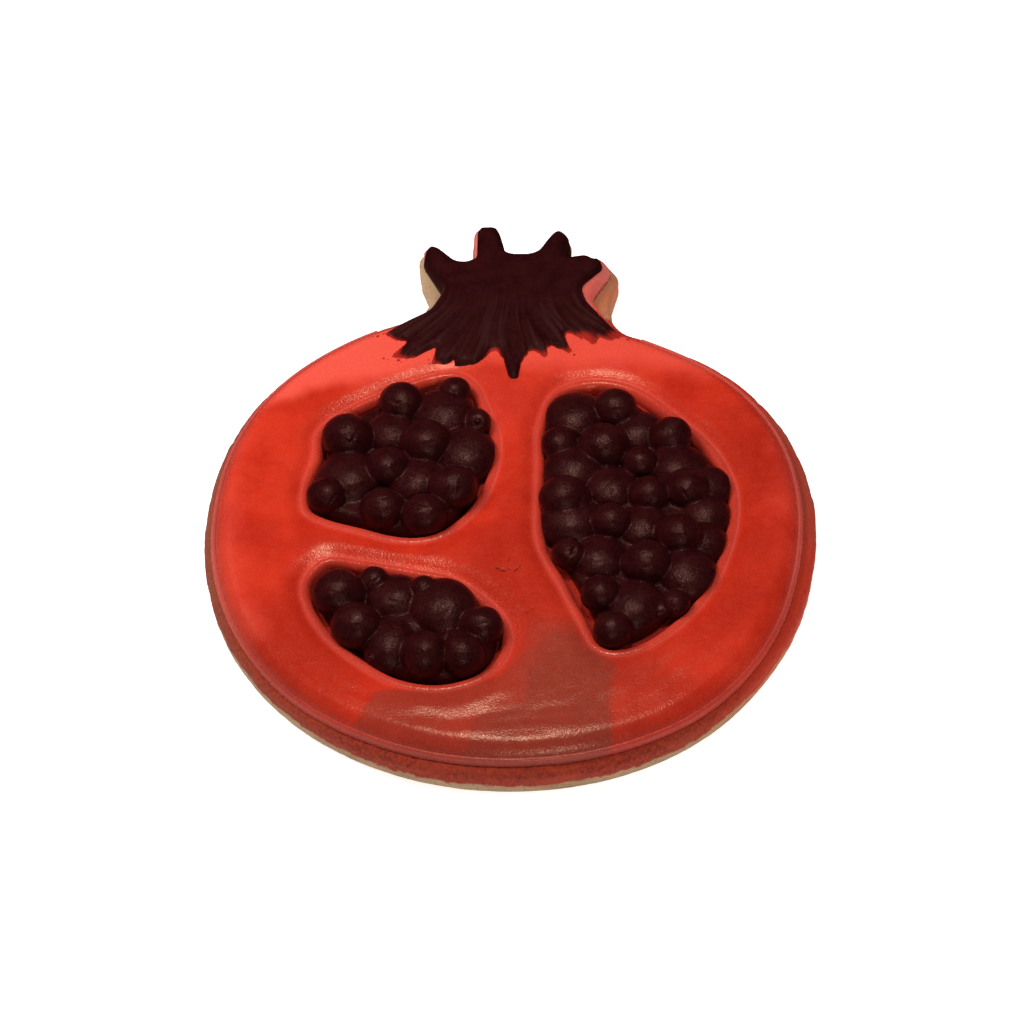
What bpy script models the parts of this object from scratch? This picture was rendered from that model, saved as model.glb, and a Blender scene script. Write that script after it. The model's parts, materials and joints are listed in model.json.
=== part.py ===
"""Iced sugar biscuit cut as a pomegranate: a round body with a crown of four points.

The biscuit lies flat on its underside. Its frame has the origin at the centre of the round
body on the underside, +Y towards the crown and +Z up. Red icing covers the top: a piped rope
runs round the body and round each of three wells, and the softer icing between them stands a
little higher. Dark icing is brushed from the crown over the shoulders, and the wells are full
of dark piped seeds that have run together. All sizes below are in millimetres.
"""

import bmesh
import bpy
import math
import numpy as np
from mathutils.geometry import delaunay_2d_cdt

MM = 0.001

# Biscuit: round body, plain crown cut in outline with filleted corners
BISCUIT_THICKNESS = 4.2
EDGE_ROUND = 0.9
CLEARANCE = 0.3

# The body is not quite round, and the icing not quite central:
# angle in degrees, radius of the biscuit, radius of the red icing
BODY_RADII = (
    (-165, 45.1, 44.1), (-135, 45.2, 44.5), (-115, 45.0, 43.8), (-90, 45.0, 43.5),
    (-72, 45.4, 44.0), (-55, 45.6, 44.6), (-38, 45.1, 44.1), (-15, 45.0, 43.0),
    (0, 45.3, 43.3), (20, 45.7, 44.2), (35, 45.5, 44.1), (48, 44.4, 43.0),
    (58, 43.2, 42.2), (66, 43.2, 42.2), (110, 45.6, 44.6), (125, 45.9, 44.9),
    (142, 46.4, 45.3), (158, 45.7, 44.8), (174, 45.1, 44.0),
)

# Crown of the biscuit, counter-clockwise from the right shoulder to the left one:
# corner x, corner y, fillet radius, width of bare biscuit outside the red icing
CROWN_CORNERS = (
    (17.4, 41.0, 2.5, 1.4),
    (16.4, 45.2, 4.0, 2.5),
    (19.0, 51.6, 2.0, 1.1),
    (16.6, 55.2, 2.2, 0.9),
    (10.7, 55.1, 0.9, 0.5),
    (11.5, 60.3, 2.0, 0.4),
    (8.3, 61.2, 2.2, 0.8),
    (4.9, 56.0, 2.2, 0.9),
    (1.0, 55.8, 1.6, 0.8),
    (-0.1, 62.3, 1.0, 0.6),
    (-4.7, 62.3, 1.2, 0.2),
    (-5.0, 54.8, 0.9, 0.3),
    (-6.9, 54.4, 1.2, 0.9),
    (-10.6, 58.7, 2.2, 0.9),
    (-13.8, 58.4, 1.8, 0.6),
    (-13.2, 52.6, 8.0, 1.0),
    (-11.5, 47.6, 3.5, 1.9),
    (-13.2, 43.9, 2.5, 1.6),
)
SHOULDER_RIGHT = 64.0
SHOULDER_LEFT = 112.0
ARC_STEPS = 60

# Red icing
RIM_ROPE_WIDTH = 1.1
RIM_ROPE_HEIGHT = 1.2
WELL_ROPE_WIDTH = 1.3
WELL_ROPE_HEIGHT = 1.9
RIM_EDGE_HEIGHT = 1.0
WELL_EDGE_HEIGHT = 1.6
FLOOD_HEIGHT = 2.5
FLOOD_SHOULDER = 3.0
ROPE_END_RIGHT = 61.0
ROPE_END_LEFT = 115.0

# Centre line of the rope round each well, counter-clockwise
WELL_UPPER = (
    (-29.9, 1.9), (-26.9, -0.4), (-22.0, -2.2), (-17.3, -3.9), (-12.9, -4.3), (-8.6, -2.5),
    (-4.6, 2.2), (-2.3, 8.3), (-1.7, 15.0), (-3.1, 20.8), (-4.9, 26.3), (-8.1, 28.7),
    (-13.7, 27.4), (-19.6, 24.5), (-24.9, 21.1), (-28.4, 17.3), (-28.8, 12.0), (-30.1, 6.4),
)
WELL_LOWER = (
    (-29.5, -12.0), (-28.6, -17.0), (-25.5, -22.3), (-21.2, -26.5), (-16.5, -29.8),
    (-10.8, -31.1), (-5.3, -29.8), (-1.6, -26.3), (-0.8, -21.5), (-3.6, -16.6), (-8.6, -12.3),
    (-14.8, -10.4), (-21.0, -8.9), (-26.6, -8.0),
)
WELL_RIGHT = (
    (4.3, -0.5), (4.7, -6.6), (7.4, -13.6), (9.9, -20.2), (11.8, -24.8), (15.4, -25.8),
    (20.6, -23.5), (26.7, -17.4), (30.5, -10.2), (32.8, -2.4), (33.0, 4.4), (30.6, 11.6),
    (25.6, 18.4), (19.9, 24.3), (13.6, 26.2), (7.6, 23.8), (5.1, 16.8), (4.8, 8.6),
)
WELL_POINTS = 36

# Seeds: centre x, centre y, radius, and lift of the centre above a seed that sits on the floor
SEED_SINK = 0.36
SEEDS_UPPER = (
    (-7.9, 25.0, 2.45, 0.9), (-16.0, 22.5, 3.4, 0.9), (-24.1, 15.9, 3.8, 0.6),
    (-9.7, 20.1, 3.9, 0.0), (-4.4, 18.7, 2.05, 1.0), (-17.5, 16.8, 3.3, 0.1),
    (-12.15, 13.9, 3.7, 0.9), (-6.4, 12.1, 3.7, 0.0), (-18.0, 9.4, 3.4, 0.9),
    (-23.2, 7.6, 3.5, 0.0), (-26.95, 4.6, 2.85, 0.7), (-13.7, 7.2, 3.4, 0.0),
    (-8.2, 5.1, 3.55, 0.8), (-18.6, 2.1, 3.2, 0.6), (-12.5, 0.7, 3.25, 0.6),
)
SEEDS_LOWER = (
    (-24.7, -14.2, 3.6, 0.7), (-19.65, -12.0, 2.3, 0.9), (-16.6, -15.1, 3.3, 0.0),
    (-12.5, -13.8, 2.15, 1.0), (-9.9, -17.1, 3.8, 0.0), (-22.0, -19.9, 3.45, 0.8),
    (-4.3, -20.5, 3.05, 0.6), (-15.9, -19.8, 2.4, 0.2), (-12.4, -25.3, 3.5, 0.8),
    (-17.4, -23.4, 3.45, 0.1), (-7.1, -25.1, 3.5, 0.2),
)
SEEDS_RIGHT = (
    (10.5, 19.0, 3.7, 0.1), (16.5, 20.2, 3.4, 0.8), (7.9, 13.4, 2.85, 0.8),
    (14.45, 12.4, 3.75, 0.9), (19.8, 15.6, 3.1, 0.0), (24.65, 14.3, 3.15, 0.8),
    (19.75, 9.1, 2.45, 1.3), (25.6, 8.2, 3.5, 0.0), (9.75, 8.4, 3.6, 0.0),
    (8.2, 2.4, 3.6, 0.8), (15.2, 4.4, 3.15, 0.1), (20.7, 2.9, 2.85, 0.9),
    (26.3, 3.6, 3.05, 1.0), (29.7, 4.6, 2.8, 0.3), (9.0, -1.5, 3.5, 0.0),
    (14.85, -2.3, 2.9, 1.1), (19.5, -3.3, 3.1, 0.0), (24.55, -5.3, 3.2, 1.0),
    (28.9, -0.7, 2.9, 0.0), (28.2, -6.0, 2.8, 0.1), (8.4, -8.0, 2.45, 0.9),
    (12.9, -8.9, 3.1, 0.1), (19.55, -10.4, 3.5, 0.9), (25.6, -12.5, 3.5, 0.1),
    (12.65, -15.5, 2.75, 0.9), (17.4, -17.8, 3.5, 0.0), (23.4, -17.2, 2.45, 0.2),
    (21.4, -18.0, 1.9, 0.0), (14.05, -21.8, 2.65, 0.8),
)
SEED_SEGMENTS = 10
SEED_RINGS = 6
HEAP_CORE_INSET = 3.2
HEAP_CORE_HEIGHT = 2.2

# Dark icing on the crown: corner x, corner y, fillet radius, counter-clockwise from the
# right shoulder, over the four points and back along the ends of the brushed strokes
DARK_CROWN = (
    (19.0, 35.7, 0.6), (12.2, 42.6, 6.0), (12.2, 46.6, 3.0), (16.1, 50.3, 0.8),
    (15.6, 52.9, 0.5), (13.4, 53.8, 1.5), (9.4, 52.7, 0.6), (11.4, 56.2, 1.6),
    (11.0, 59.0, 1.4), (8.8, 59.6, 1.5), (5.3, 54.7, 2.2), (0.5, 54.7, 1.5),
    (-0.8, 60.9, 0.6), (-4.1, 60.9, 0.8), (-4.1, 54.0, 0.5), (-6.6, 52.8, 1.2),
    (-10.5, 57.1, 1.6), (-13.0, 56.3, 1.2), (-12.7, 53.2, 3.0), (-9.7, 47.4, 3.0),
    (-11.2, 42.0, 4.0), (-18.9, 37.4, 0.5), (-17.2, 35.9, 0.5), (-15.0, 35.6, 0.3),
    (-18.4, 32.4, 0.4), (-14.7, 31.6, 1.0), (-10.4, 34.6, 0.3), (-10.1, 29.9, 0.5),
    (-7.4, 31.7, 0.3), (-7.2, 30.0, 0.4), (-4.4, 30.3, 1.0), (-1.7, 33.1, 0.4),
    (0.1, 31.5, 1.0), (0.3, 26.7, 0.8), (2.0, 26.7, 0.8), (2.4, 31.0, 1.2),
    (4.1, 33.0, 0.5), (6.3, 30.6, 0.5), (7.0, 33.9, 0.3), (10.6, 31.5, 0.4),
    (9.3, 37.0, 0.3), (14.3, 33.3, 0.5), (14.6, 35.6, 0.3), (16.6, 34.4, 0.5),
)
DARK_THICKNESS = 1.1
DARK_EDGE = 0.55
DARK_TAPER_LENGTH = 14.0
NECK_Y = 43.0

COLOURS = {
    "biscuit": ((0.52, 0.30, 0.13), 0.85),
    "rim_rope": ((0.66, 0.06, 0.03), 0.42),
    "red_flood": ((0.68, 0.07, 0.035), 0.42),
    "well_rope_upper": ((0.66, 0.06, 0.03), 0.42),
    "well_rope_lower": ((0.66, 0.06, 0.03), 0.42),
    "well_rope_right": ((0.66, 0.06, 0.03), 0.42),
    "crown_icing": ((0.055, 0.011, 0.013), 0.5),
    "seeds_upper": ((0.05, 0.01, 0.012), 0.4),
    "seeds_lower": ((0.05, 0.01, 0.012), 0.4),
    "seeds_right": ((0.05, 0.01, 0.012), 0.4),
}


def clear_scene():
    for item in list(bpy.data.objects):
        bpy.data.objects.remove(item, do_unlink=True)


def material(name):
    colour, roughness = COLOURS[name]
    made = bpy.data.materials.new(name)
    made.use_nodes = True
    shader = made.node_tree.nodes["Principled BSDF"]
    shader.inputs["Base Color"].default_value = (*colour, 1.0)
    shader.inputs["Roughness"].default_value = roughness
    shader.inputs["Metallic"].default_value = 0.0
    return made


def add_object(name, verts, faces):
    """Closed mesh object from points in millimetres, with its faces turned outwards."""
    mesh = bpy.data.meshes.new(name)
    mesh.from_pydata([(x * MM, y * MM, z * MM) for x, y, z in verts], [], faces)
    shape = bmesh.new()
    shape.from_mesh(mesh)
    bmesh.ops.recalc_face_normals(shape, faces=shape.faces)
    if shape.calc_volume(signed=True) < 0.0:
        bmesh.ops.reverse_faces(shape, faces=shape.faces)
    shape.to_mesh(mesh)
    shape.free()
    made = bpy.data.objects.new(name, mesh)
    bpy.context.scene.collection.objects.link(made)
    if name in COLOURS:
        mesh.materials.append(material(name))
        mesh.shade_smooth()
        mesh.set_sharp_from_angle(angle=math.radians(40.0))
    return made


def unit(vector):
    return vector / max(np.linalg.norm(vector), 1e-9)


def fillet_loop(corners, step):
    """Closed outline through corners (x, y, radius), each rounded by its radius."""
    points = []
    count = len(corners)
    for index in range(count):
        here = np.array(corners[index][:2])
        before = np.array(corners[index - 1][:2])
        after = np.array(corners[(index + 1) % count][:2])
        back = unit(before - here)
        ahead = unit(after - here)
        half = 0.5 * math.acos(max(-1.0, min(1.0, float(back @ ahead))))
        room = 0.46 * min(np.linalg.norm(before - here), np.linalg.norm(after - here))
        reach = min(corners[index][2] / max(math.tan(half), 1e-6), room)
        radius = reach * math.tan(half)
        if half > 1.5 or radius < 0.05:
            points.append(here)
            continue
        centre = here + unit(back + ahead) * radius / math.sin(half)
        turns = max(2, int(math.ceil((math.pi - 2.0 * half) * radius / step)))
        start = here + back * reach - centre
        end = here + ahead * reach - centre
        sweep = math.atan2(start[0] * end[1] - start[1] * end[0], float(start @ end))
        for turn in range(turns + 1):
            angle = sweep * turn / turns
            spin = np.array(((math.cos(angle), -math.sin(angle)),
                             (math.sin(angle), math.cos(angle))))
            points.append(centre + spin @ start)
    return np.array(points)


def smooth_loop(points, count):
    """Closed Catmull-Rom curve through points, as evenly spaced points."""
    control = np.array(points, dtype=float)
    fine = []
    for index in range(len(control)):
        p0, p1, p2, p3 = (control[(index + k - 1) % len(control)] for k in range(4))
        for part in range(12):
            t = part / 12.0
            fine.append(0.5 * (2 * p1 + (p2 - p0) * t + (2 * p0 - 5 * p1 + 4 * p2 - p3) * t ** 2
                               + (3 * p1 - p0 - 3 * p2 + p3) * t ** 3))
    return respaced(np.array(fine), count)


def respaced(loop, count):
    closed = np.vstack((loop, loop[:1]))
    run = np.concatenate(([0.0], np.cumsum(np.linalg.norm(np.diff(closed, axis=0), axis=1))))
    want = np.linspace(0.0, run[-1], count, endpoint=False)
    return np.stack([np.interp(want, run, closed[:, axis]) for axis in (0, 1)], axis=1)


def inset(loop, distance):
    """Counter-clockwise loop moved towards its inside."""
    along = np.roll(loop, -1, axis=0) - np.roll(loop, 1, axis=0)
    along = along / np.linalg.norm(along, axis=1)[:, None]
    return loop + np.stack((-along[:, 1], along[:, 0]), axis=1) * distance


def edge_distance(points, loop):
    """Distance from each point to a closed loop, positive inside it."""
    points = np.asarray(points, dtype=float)
    start = loop
    span = np.roll(loop, -1, axis=0) - start
    offset = points[:, None, :] - start[None, :, :]
    share = np.clip((offset * span).sum(2) / (span * span).sum(1), 0.0, 1.0)
    nearest = np.linalg.norm(offset - share[:, :, None] * span, axis=2).min(axis=1)
    above = start[None, :, 1] > points[:, None, 1]
    end = start + span
    above_end = end[None, :, 1] > points[:, None, 1]
    run = np.where(np.abs(span[:, 1]) < 1e-12, 1e-12, span[:, 1])
    cross = start[:, 0] + (points[:, None, 1] - start[:, 1]) * span[:, 0] / run
    hits = ((above != above_end) & (points[:, None, 0] < cross)).sum(axis=1)
    return np.where(hits % 2 == 1, nearest, -nearest)


def moved_corners(corners, borders):
    """Corners of an outline, each moved inwards by its own border."""
    moved = []
    for index, (x, y, radius) in enumerate(corners):
        here = np.array((x, y))
        back = unit(np.array(corners[index - 1][:2]) - here)
        ahead = unit(np.array(corners[(index + 1) % len(corners)][:2]) - here)
        normal = unit(np.array((-ahead[1], ahead[0])) + np.array((back[1], -back[0])))
        lean = max(0.45, float(normal @ np.array((-ahead[1], ahead[0]))))
        spot = here + normal * borders[index] / lean
        moved.append((spot[0], spot[1], max(0.3, radius - 0.5 * borders[index])))
    return moved


def body_radius(angle, column):
    """Radius of the round body at angles in degrees, smoothly between the named ones."""
    turn = np.array([row[0] for row in BODY_RADII], dtype=float)
    size = np.array([row[column] for row in BODY_RADII], dtype=float)
    turn = np.concatenate((turn - 360.0, turn, turn + 360.0))
    size = np.tile(size, 3)
    around = np.array(angle)[:, None] + np.linspace(-7.0, 7.0, 9)[None, :]
    around = (around + 180.0) % 360.0 - 180.0
    return np.interp(around, turn, size).mean(axis=1)


def body_arc(column, drawn_in, first, last, count):
    """Points of the round body, counter-clockwise from the left shoulder to the right one."""
    angle = np.linspace(first, last + 360.0, count)
    radius = body_radius(angle, column) - drawn_in
    turn = np.radians(angle)
    return np.stack((radius * np.cos(turn), radius * np.sin(turn)), axis=1)


def biscuit_outline():
    corners = [row[:3] for row in CROWN_CORNERS]
    arc = body_arc(1, 0.0, SHOULDER_LEFT, SHOULDER_RIGHT, ARC_STEPS)
    return fillet_loop(corners + [(x, y, 0.0) for x, y in arc], 1.1)


def iced_outline(drawn_in):
    """Outline of the red icing, on the round body drawn in behind its rope."""
    corners = [row[:3] for row in CROWN_CORNERS]
    borders = [row[3] for row in CROWN_CORNERS]
    arc = body_arc(1, 0.0, SHOULDER_LEFT, SHOULDER_RIGHT, ARC_STEPS)
    whole = corners + [(x, y, 0.0) for x, y in arc]
    crown = moved_corners(whole, borders + [0.0] * len(arc))[:len(corners)]
    body = body_arc(2, drawn_in, SHOULDER_LEFT, SHOULDER_RIGHT, ARC_STEPS)
    return fillet_loop(crown + [(x, y, 0.0) for x, y in body], 1.1)


def lofted_plate(name, loops):
    """Closed body from a stack of loops (outline, height), bottom first."""
    count = len(loops[0][0])
    verts = []
    for outline, height in loops:
        verts += [(x, y, height) for x, y in outline]
    faces = []
    for level in range(len(loops) - 1):
        low = level * count
        for k in range(count):
            n = (k + 1) % count
            faces.append((low + k, low + n, low + count + n, low + count + k))
    faces.append(tuple(reversed(range(count))))
    faces.append(tuple(range(len(verts) - count, len(verts))))
    return add_object(name, verts, faces)


def rope(name, line, closed, wide, high):
    """Piped rope lying on the biscuit: flat below, round above."""
    low = BISCUIT_THICKNESS + CLEARANCE
    half = 0.5 * wide
    profile = [(-half * 0.8, low), (half * 0.8, low)]
    for step in range(5):
        angle = math.radians(-18.0 + 54.0 * step)
        rise = low - CLEARANCE + high - half
        profile.append((half * math.cos(angle), rise + half * math.sin(angle)))
    along = np.gradient(line, axis=0)
    if closed:
        along = np.roll(line, -1, axis=0) - np.roll(line, 1, axis=0)
    along = along / np.linalg.norm(along, axis=1)[:, None]
    side = np.stack((along[:, 1], -along[:, 0]), axis=1)
    width = len(profile)
    verts = []
    for k, (x, y) in enumerate(line):
        verts += [(x + side[k, 0] * out, y + side[k, 1] * out, up) for out, up in profile]
    faces = []
    last = len(line) if closed else len(line) - 1
    for k in range(last):
        here = k * width
        there = ((k + 1) % len(line)) * width
        for j in range(width):
            n = (j + 1) % width
            faces.append((here + j, there + j, there + n, here + n))
    if not closed:
        faces.append(tuple(range(width)))
        faces.append(tuple(reversed(range((len(line) - 1) * width, len(line) * width))))
    return add_object(name, verts, faces)


def sheet(name, outer, holes, rings, spacing, top_height, low_height):
    """Layer of icing over an area with holes; both heights are functions of the points."""
    loops = [outer] + holes

    def depth(points):
        inner = [edge_distance(points, outer)]
        inner += [-edge_distance(points, hole) for hole in holes]
        return np.min(inner, axis=0)

    spots = list(loops)
    for ring in rings:
        for order, loop in enumerate(loops):
            moved = inset(loop, ring if order == 0 else -ring)
            spots.append(moved[depth(moved) > 0.93 * ring])
    low = outer.min(axis=0)
    high = outer.max(axis=0)
    grid = []
    for row in range(int((high[1] - low[1]) / (spacing * 0.87)) + 1):
        across = np.arange(low[0] + 0.5 * spacing * (row % 2), high[0], spacing)
        grid += [(x, low[1] + row * spacing * 0.87) for x in across]
    grid = np.array(grid)
    spots.append(grid[depth(grid) > rings[-1] + 0.45 * spacing])

    links = []
    base = 0
    for loop in loops:
        links += [(base + k, base + (k + 1) % len(loop)) for k in range(len(loop))]
        base += len(loop)

    def flat_mesh(points):
        made = delaunay_2d_cdt([tuple(p) for p in points], links, [], 0, 1e-5)
        flat = np.array([tuple(v) for v in made[0]])
        faces = [tuple(f) for f in made[2]]
        inside = depth(np.array([flat[list(f)].mean(axis=0) for f in faces])) > 0.0
        ids = {}
        for order, sources in enumerate(made[3]):
            for source in sources:
                ids[source] = order
        return flat, [f for f, kept in zip(faces, inside) if kept], ids

    upper, upper_faces, upper_ids = flat_mesh(np.vstack(spots))
    lower, lower_faces, lower_ids = flat_mesh(np.vstack(loops if low_height is None else spots))
    floor = np.full(len(lower), BISCUIT_THICKNESS + CLEARANCE)
    if low_height is not None:
        floor = low_height(lower)
    verts = [(p[0], p[1], z) for p, z in zip(upper, top_height(upper))]
    shift = len(verts)
    verts += [(p[0], p[1], z) for p, z in zip(lower, floor)]
    faces = list(upper_faces)
    faces += [tuple(shift + k for k in reversed(f)) for f in lower_faces]
    for a, b in links:
        faces.append((shift + lower_ids[a], shift + lower_ids[b], upper_ids[b], upper_ids[a]))
    return add_object(name, verts, faces)


def swell(distance, reach):
    """Rounded rise from 0 at an edge to 1 at the reach."""
    return 1.0 - (1.0 - np.clip(distance / reach, 0.0, 1.0)) ** 2.2


def seed_mesh(x, y, radius, lift, wall):
    """One seed, pressed flat where it meets the rope round its well."""
    centre = BISCUIT_THICKNESS + SEED_SINK * radius + lift
    verts = []
    for ring in range(1, SEED_RINGS):
        polar = math.pi * ring / SEED_RINGS
        for turn in range(SEED_SEGMENTS):
            angle = 2.0 * math.pi * (turn + 0.5 * (ring % 2)) / SEED_SEGMENTS
            verts.append((x + radius * math.sin(polar) * math.cos(angle),
                          y + radius * math.sin(polar) * math.sin(angle),
                          centre + 0.97 * radius * math.cos(polar)))
    verts.append((x, y, centre + 0.97 * radius))
    verts.append((x, y, centre - 0.97 * radius))
    spots = np.array(verts)
    crest = BISCUIT_THICKNESS + WELL_ROPE_HEIGHT + 0.8
    for trial in range(6):
        short = CLEARANCE + 0.05 - edge_distance(spots[:, :2], wall)
        push = np.where((short > 0.0) & (spots[:, 2] < crest), short, 0.0)
        spots[:, :2] += nearest_normal(spots[:, :2], wall) * push[:, None]
    faces = []
    rows = SEED_RINGS - 1
    for ring in range(rows - 1):
        for turn in range(SEED_SEGMENTS):
            a = ring * SEED_SEGMENTS + turn
            b = ring * SEED_SEGMENTS + (turn + 1) % SEED_SEGMENTS
            faces.append((a, a + SEED_SEGMENTS, b + SEED_SEGMENTS, b))
    top = rows * SEED_SEGMENTS
    for turn in range(SEED_SEGMENTS):
        n = (turn + 1) % SEED_SEGMENTS
        faces.append((top, turn, n))
        low = (rows - 1) * SEED_SEGMENTS
        faces.append((top + 1, low + n, low + turn))
    return [tuple(p) for p in spots], faces


def nearest_normal(points, loop):
    """Unit direction from the nearest edge of a counter-clockwise loop towards its inside."""
    span = np.roll(loop, -1, axis=0) - loop
    offset = points[:, None, :] - loop[None, :, :]
    share = np.clip((offset * span).sum(2) / (span * span).sum(1), 0.0, 1.0)
    gap = np.linalg.norm(offset - share[:, :, None] * span, axis=2)
    pick = span[gap.argmin(axis=1)]
    pick = pick / np.linalg.norm(pick, axis=1)[:, None]
    return np.stack((-pick[:, 1], pick[:, 0]), axis=1)


def heap(name, seeds, well):
    """Seeds of one well grown together into one body with a flat foot."""
    wall = inset(well, 0.5 * WELL_ROPE_WIDTH)
    core = respaced(inset(well, HEAP_CORE_INSET), 24)
    low = BISCUIT_THICKNESS + CLEARANCE
    made = lofted_plate(name, ((core, low - 1.0), (core, low + HEAP_CORE_HEIGHT)))
    parts = bpy.data.collections.new(name + "_parts")
    bpy.context.scene.collection.children.link(parts)
    for order, (x, y, radius, lift) in enumerate(seeds):
        verts, faces = seed_mesh(x, y, radius, lift, wall)
        one = add_object("seed_%s_%02d" % (name, order), verts, faces)
        bpy.context.scene.collection.objects.unlink(one)
        parts.objects.link(one)
    join = made.modifiers.new("grown together", "BOOLEAN")
    join.operation = "UNION"
    join.solver = "MANIFOLD"
    join.operand_type = "COLLECTION"
    join.collection = parts
    span = 200.0 * MM
    bpy.ops.mesh.primitive_cube_add(size=span, location=(0.0, 0.0, low * MM - 0.5 * span))
    foot = bpy.context.object
    foot.name = name + "_foot"
    trim = made.modifiers.new("flat foot", "BOOLEAN")
    trim.operation = "DIFFERENCE"
    trim.solver = "MANIFOLD"
    trim.object = foot
    graph = bpy.context.evaluated_depsgraph_get()
    solid = bpy.data.meshes.new_from_object(made.evaluated_get(graph))
    made.modifiers.clear()
    made.data = solid
    for item in list(parts.objects) + [foot]:
        bpy.data.objects.remove(item, do_unlink=True)
    bpy.data.collections.remove(parts)
    fill_cavities(solid)
    solid.materials.clear()
    solid.materials.append(material(name))
    solid.shade_smooth()
    solid.set_sharp_from_angle(angle=math.radians(40.0))
    return made


def fill_cavities(mesh):
    """Keep only the outer skin of a mesh, so that no hollow stays sealed between the seeds."""
    shape = bmesh.new()
    shape.from_mesh(mesh)
    left = set(shape.faces)
    skins = []
    while left:
        skin = {left.pop()}
        front = list(skin)
        while front:
            face = front.pop()
            for edge in face.edges:
                fresh = [other for other in edge.link_faces if other in left]
                left.difference_update(fresh)
                skin.update(fresh)
                front += fresh
        skins.append(skin)
    skins.sort(key=len)
    inner = [face for skin in skins[:-1] for face in skin]
    bmesh.ops.delete(shape, geom=inner, context="FACES")
    shape.to_mesh(mesh)
    shape.free()


def build():
    clear_scene()

    outline = biscuit_outline()
    lofted_plate("biscuit", (
        (inset(outline, 0.7 * EDGE_ROUND), 0.0),
        (outline, 0.6 * EDGE_ROUND),
        (outline, BISCUIT_THICKNESS - 0.8 * EDGE_ROUND),
        (inset(outline, 0.8 * EDGE_ROUND), BISCUIT_THICKNESS),
    ))

    rim = body_arc(2, 0.5 * RIM_ROPE_WIDTH, ROPE_END_LEFT, ROPE_END_RIGHT, ARC_STEPS + 6)
    rope("rim_rope", rim, False, RIM_ROPE_WIDTH, RIM_ROPE_HEIGHT)

    wells = {
        "upper": smooth_loop(WELL_UPPER, WELL_POINTS),
        "lower": smooth_loop(WELL_LOWER, WELL_POINTS),
        "right": smooth_loop(WELL_RIGHT, WELL_POINTS),
    }
    for side, line in wells.items():
        rope("well_rope_" + side, line, True, WELL_ROPE_WIDTH, WELL_ROPE_HEIGHT)

    flood_edge = iced_outline(RIM_ROPE_WIDTH + CLEARANCE)
    holes = [inset(line, -(0.5 * WELL_ROPE_WIDTH + CLEARANCE)) for line in wells.values()]
    iced_edge = iced_outline(0.0)

    def flood_top(points):
        rim_rise = swell(edge_distance(points, flood_edge), FLOOD_SHOULDER)
        height = RIM_EDGE_HEIGHT + (FLOOD_HEIGHT - RIM_EDGE_HEIGHT) * rim_rise
        for hole in holes:
            rise = swell(-edge_distance(points, hole), FLOOD_SHOULDER)
            height = np.minimum(height, WELL_EDGE_HEIGHT
                                + (FLOOD_HEIGHT - WELL_EDGE_HEIGHT) * rise)
        return BISCUIT_THICKNESS + height

    sheet("red_flood", flood_edge, holes, (0.8, 2.0), 6.0, flood_top, None)

    def dark_bottom(points):
        fall = np.clip(1.0 - edge_distance(points, iced_edge) / 3.2, 0.0, 1.0)
        return BISCUIT_THICKNESS + FLOOD_HEIGHT + CLEARANCE - 0.5 * fall ** 2

    dark = fillet_loop(DARK_CROWN, 1.2)

    def dark_top(points):
        drawn = np.clip((NECK_Y - points[:, 1]) / DARK_TAPER_LENGTH, 0.0, 1.0)
        low = DARK_EDGE * (1.0 - 0.4 * drawn)
        full = DARK_THICKNESS * (1.0 - 0.5 * drawn)
        rise = swell(edge_distance(points, dark), 1.2)
        return dark_bottom(points) + low + (full - low) * rise

    sheet("crown_icing", dark, [], (0.6,), 4.0, dark_top, dark_bottom)

    heap("seeds_upper", SEEDS_UPPER, wells["upper"])
    heap("seeds_lower", SEEDS_LOWER, wells["lower"])
    heap("seeds_right", SEEDS_RIGHT, wells["right"])


build()
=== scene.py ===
"""Iced sugar biscuit cut as a pomegranate, finished for a close look.

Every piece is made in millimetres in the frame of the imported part: the origin is at the centre
of the round body on the underside, +Y runs to the crown and +Z is up.
"""

import json
import math

import bmesh
import bpy
import numpy as np
from mathutils import Matrix, Vector, kdtree, noise
from mathutils.geometry import delaunay_2d_cdt

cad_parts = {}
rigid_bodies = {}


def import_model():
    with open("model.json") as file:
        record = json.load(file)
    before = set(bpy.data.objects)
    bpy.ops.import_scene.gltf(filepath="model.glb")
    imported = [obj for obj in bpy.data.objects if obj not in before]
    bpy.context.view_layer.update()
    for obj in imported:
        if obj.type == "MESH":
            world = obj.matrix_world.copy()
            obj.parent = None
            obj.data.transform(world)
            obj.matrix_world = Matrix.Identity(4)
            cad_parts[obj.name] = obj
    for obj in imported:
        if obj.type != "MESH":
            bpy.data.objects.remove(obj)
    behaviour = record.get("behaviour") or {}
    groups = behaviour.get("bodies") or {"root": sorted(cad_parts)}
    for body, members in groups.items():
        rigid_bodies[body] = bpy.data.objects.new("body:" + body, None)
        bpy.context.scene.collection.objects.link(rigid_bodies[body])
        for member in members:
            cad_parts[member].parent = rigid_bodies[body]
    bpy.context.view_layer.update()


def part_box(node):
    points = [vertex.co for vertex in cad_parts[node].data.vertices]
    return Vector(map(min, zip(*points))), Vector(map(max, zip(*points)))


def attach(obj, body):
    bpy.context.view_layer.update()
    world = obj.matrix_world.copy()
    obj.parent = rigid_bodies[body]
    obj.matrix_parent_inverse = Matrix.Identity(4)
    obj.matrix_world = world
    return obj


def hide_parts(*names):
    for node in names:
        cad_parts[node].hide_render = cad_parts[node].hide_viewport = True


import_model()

MM = 0.001

# ---------------------------------------------------------------- sizes, in millimetres

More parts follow.
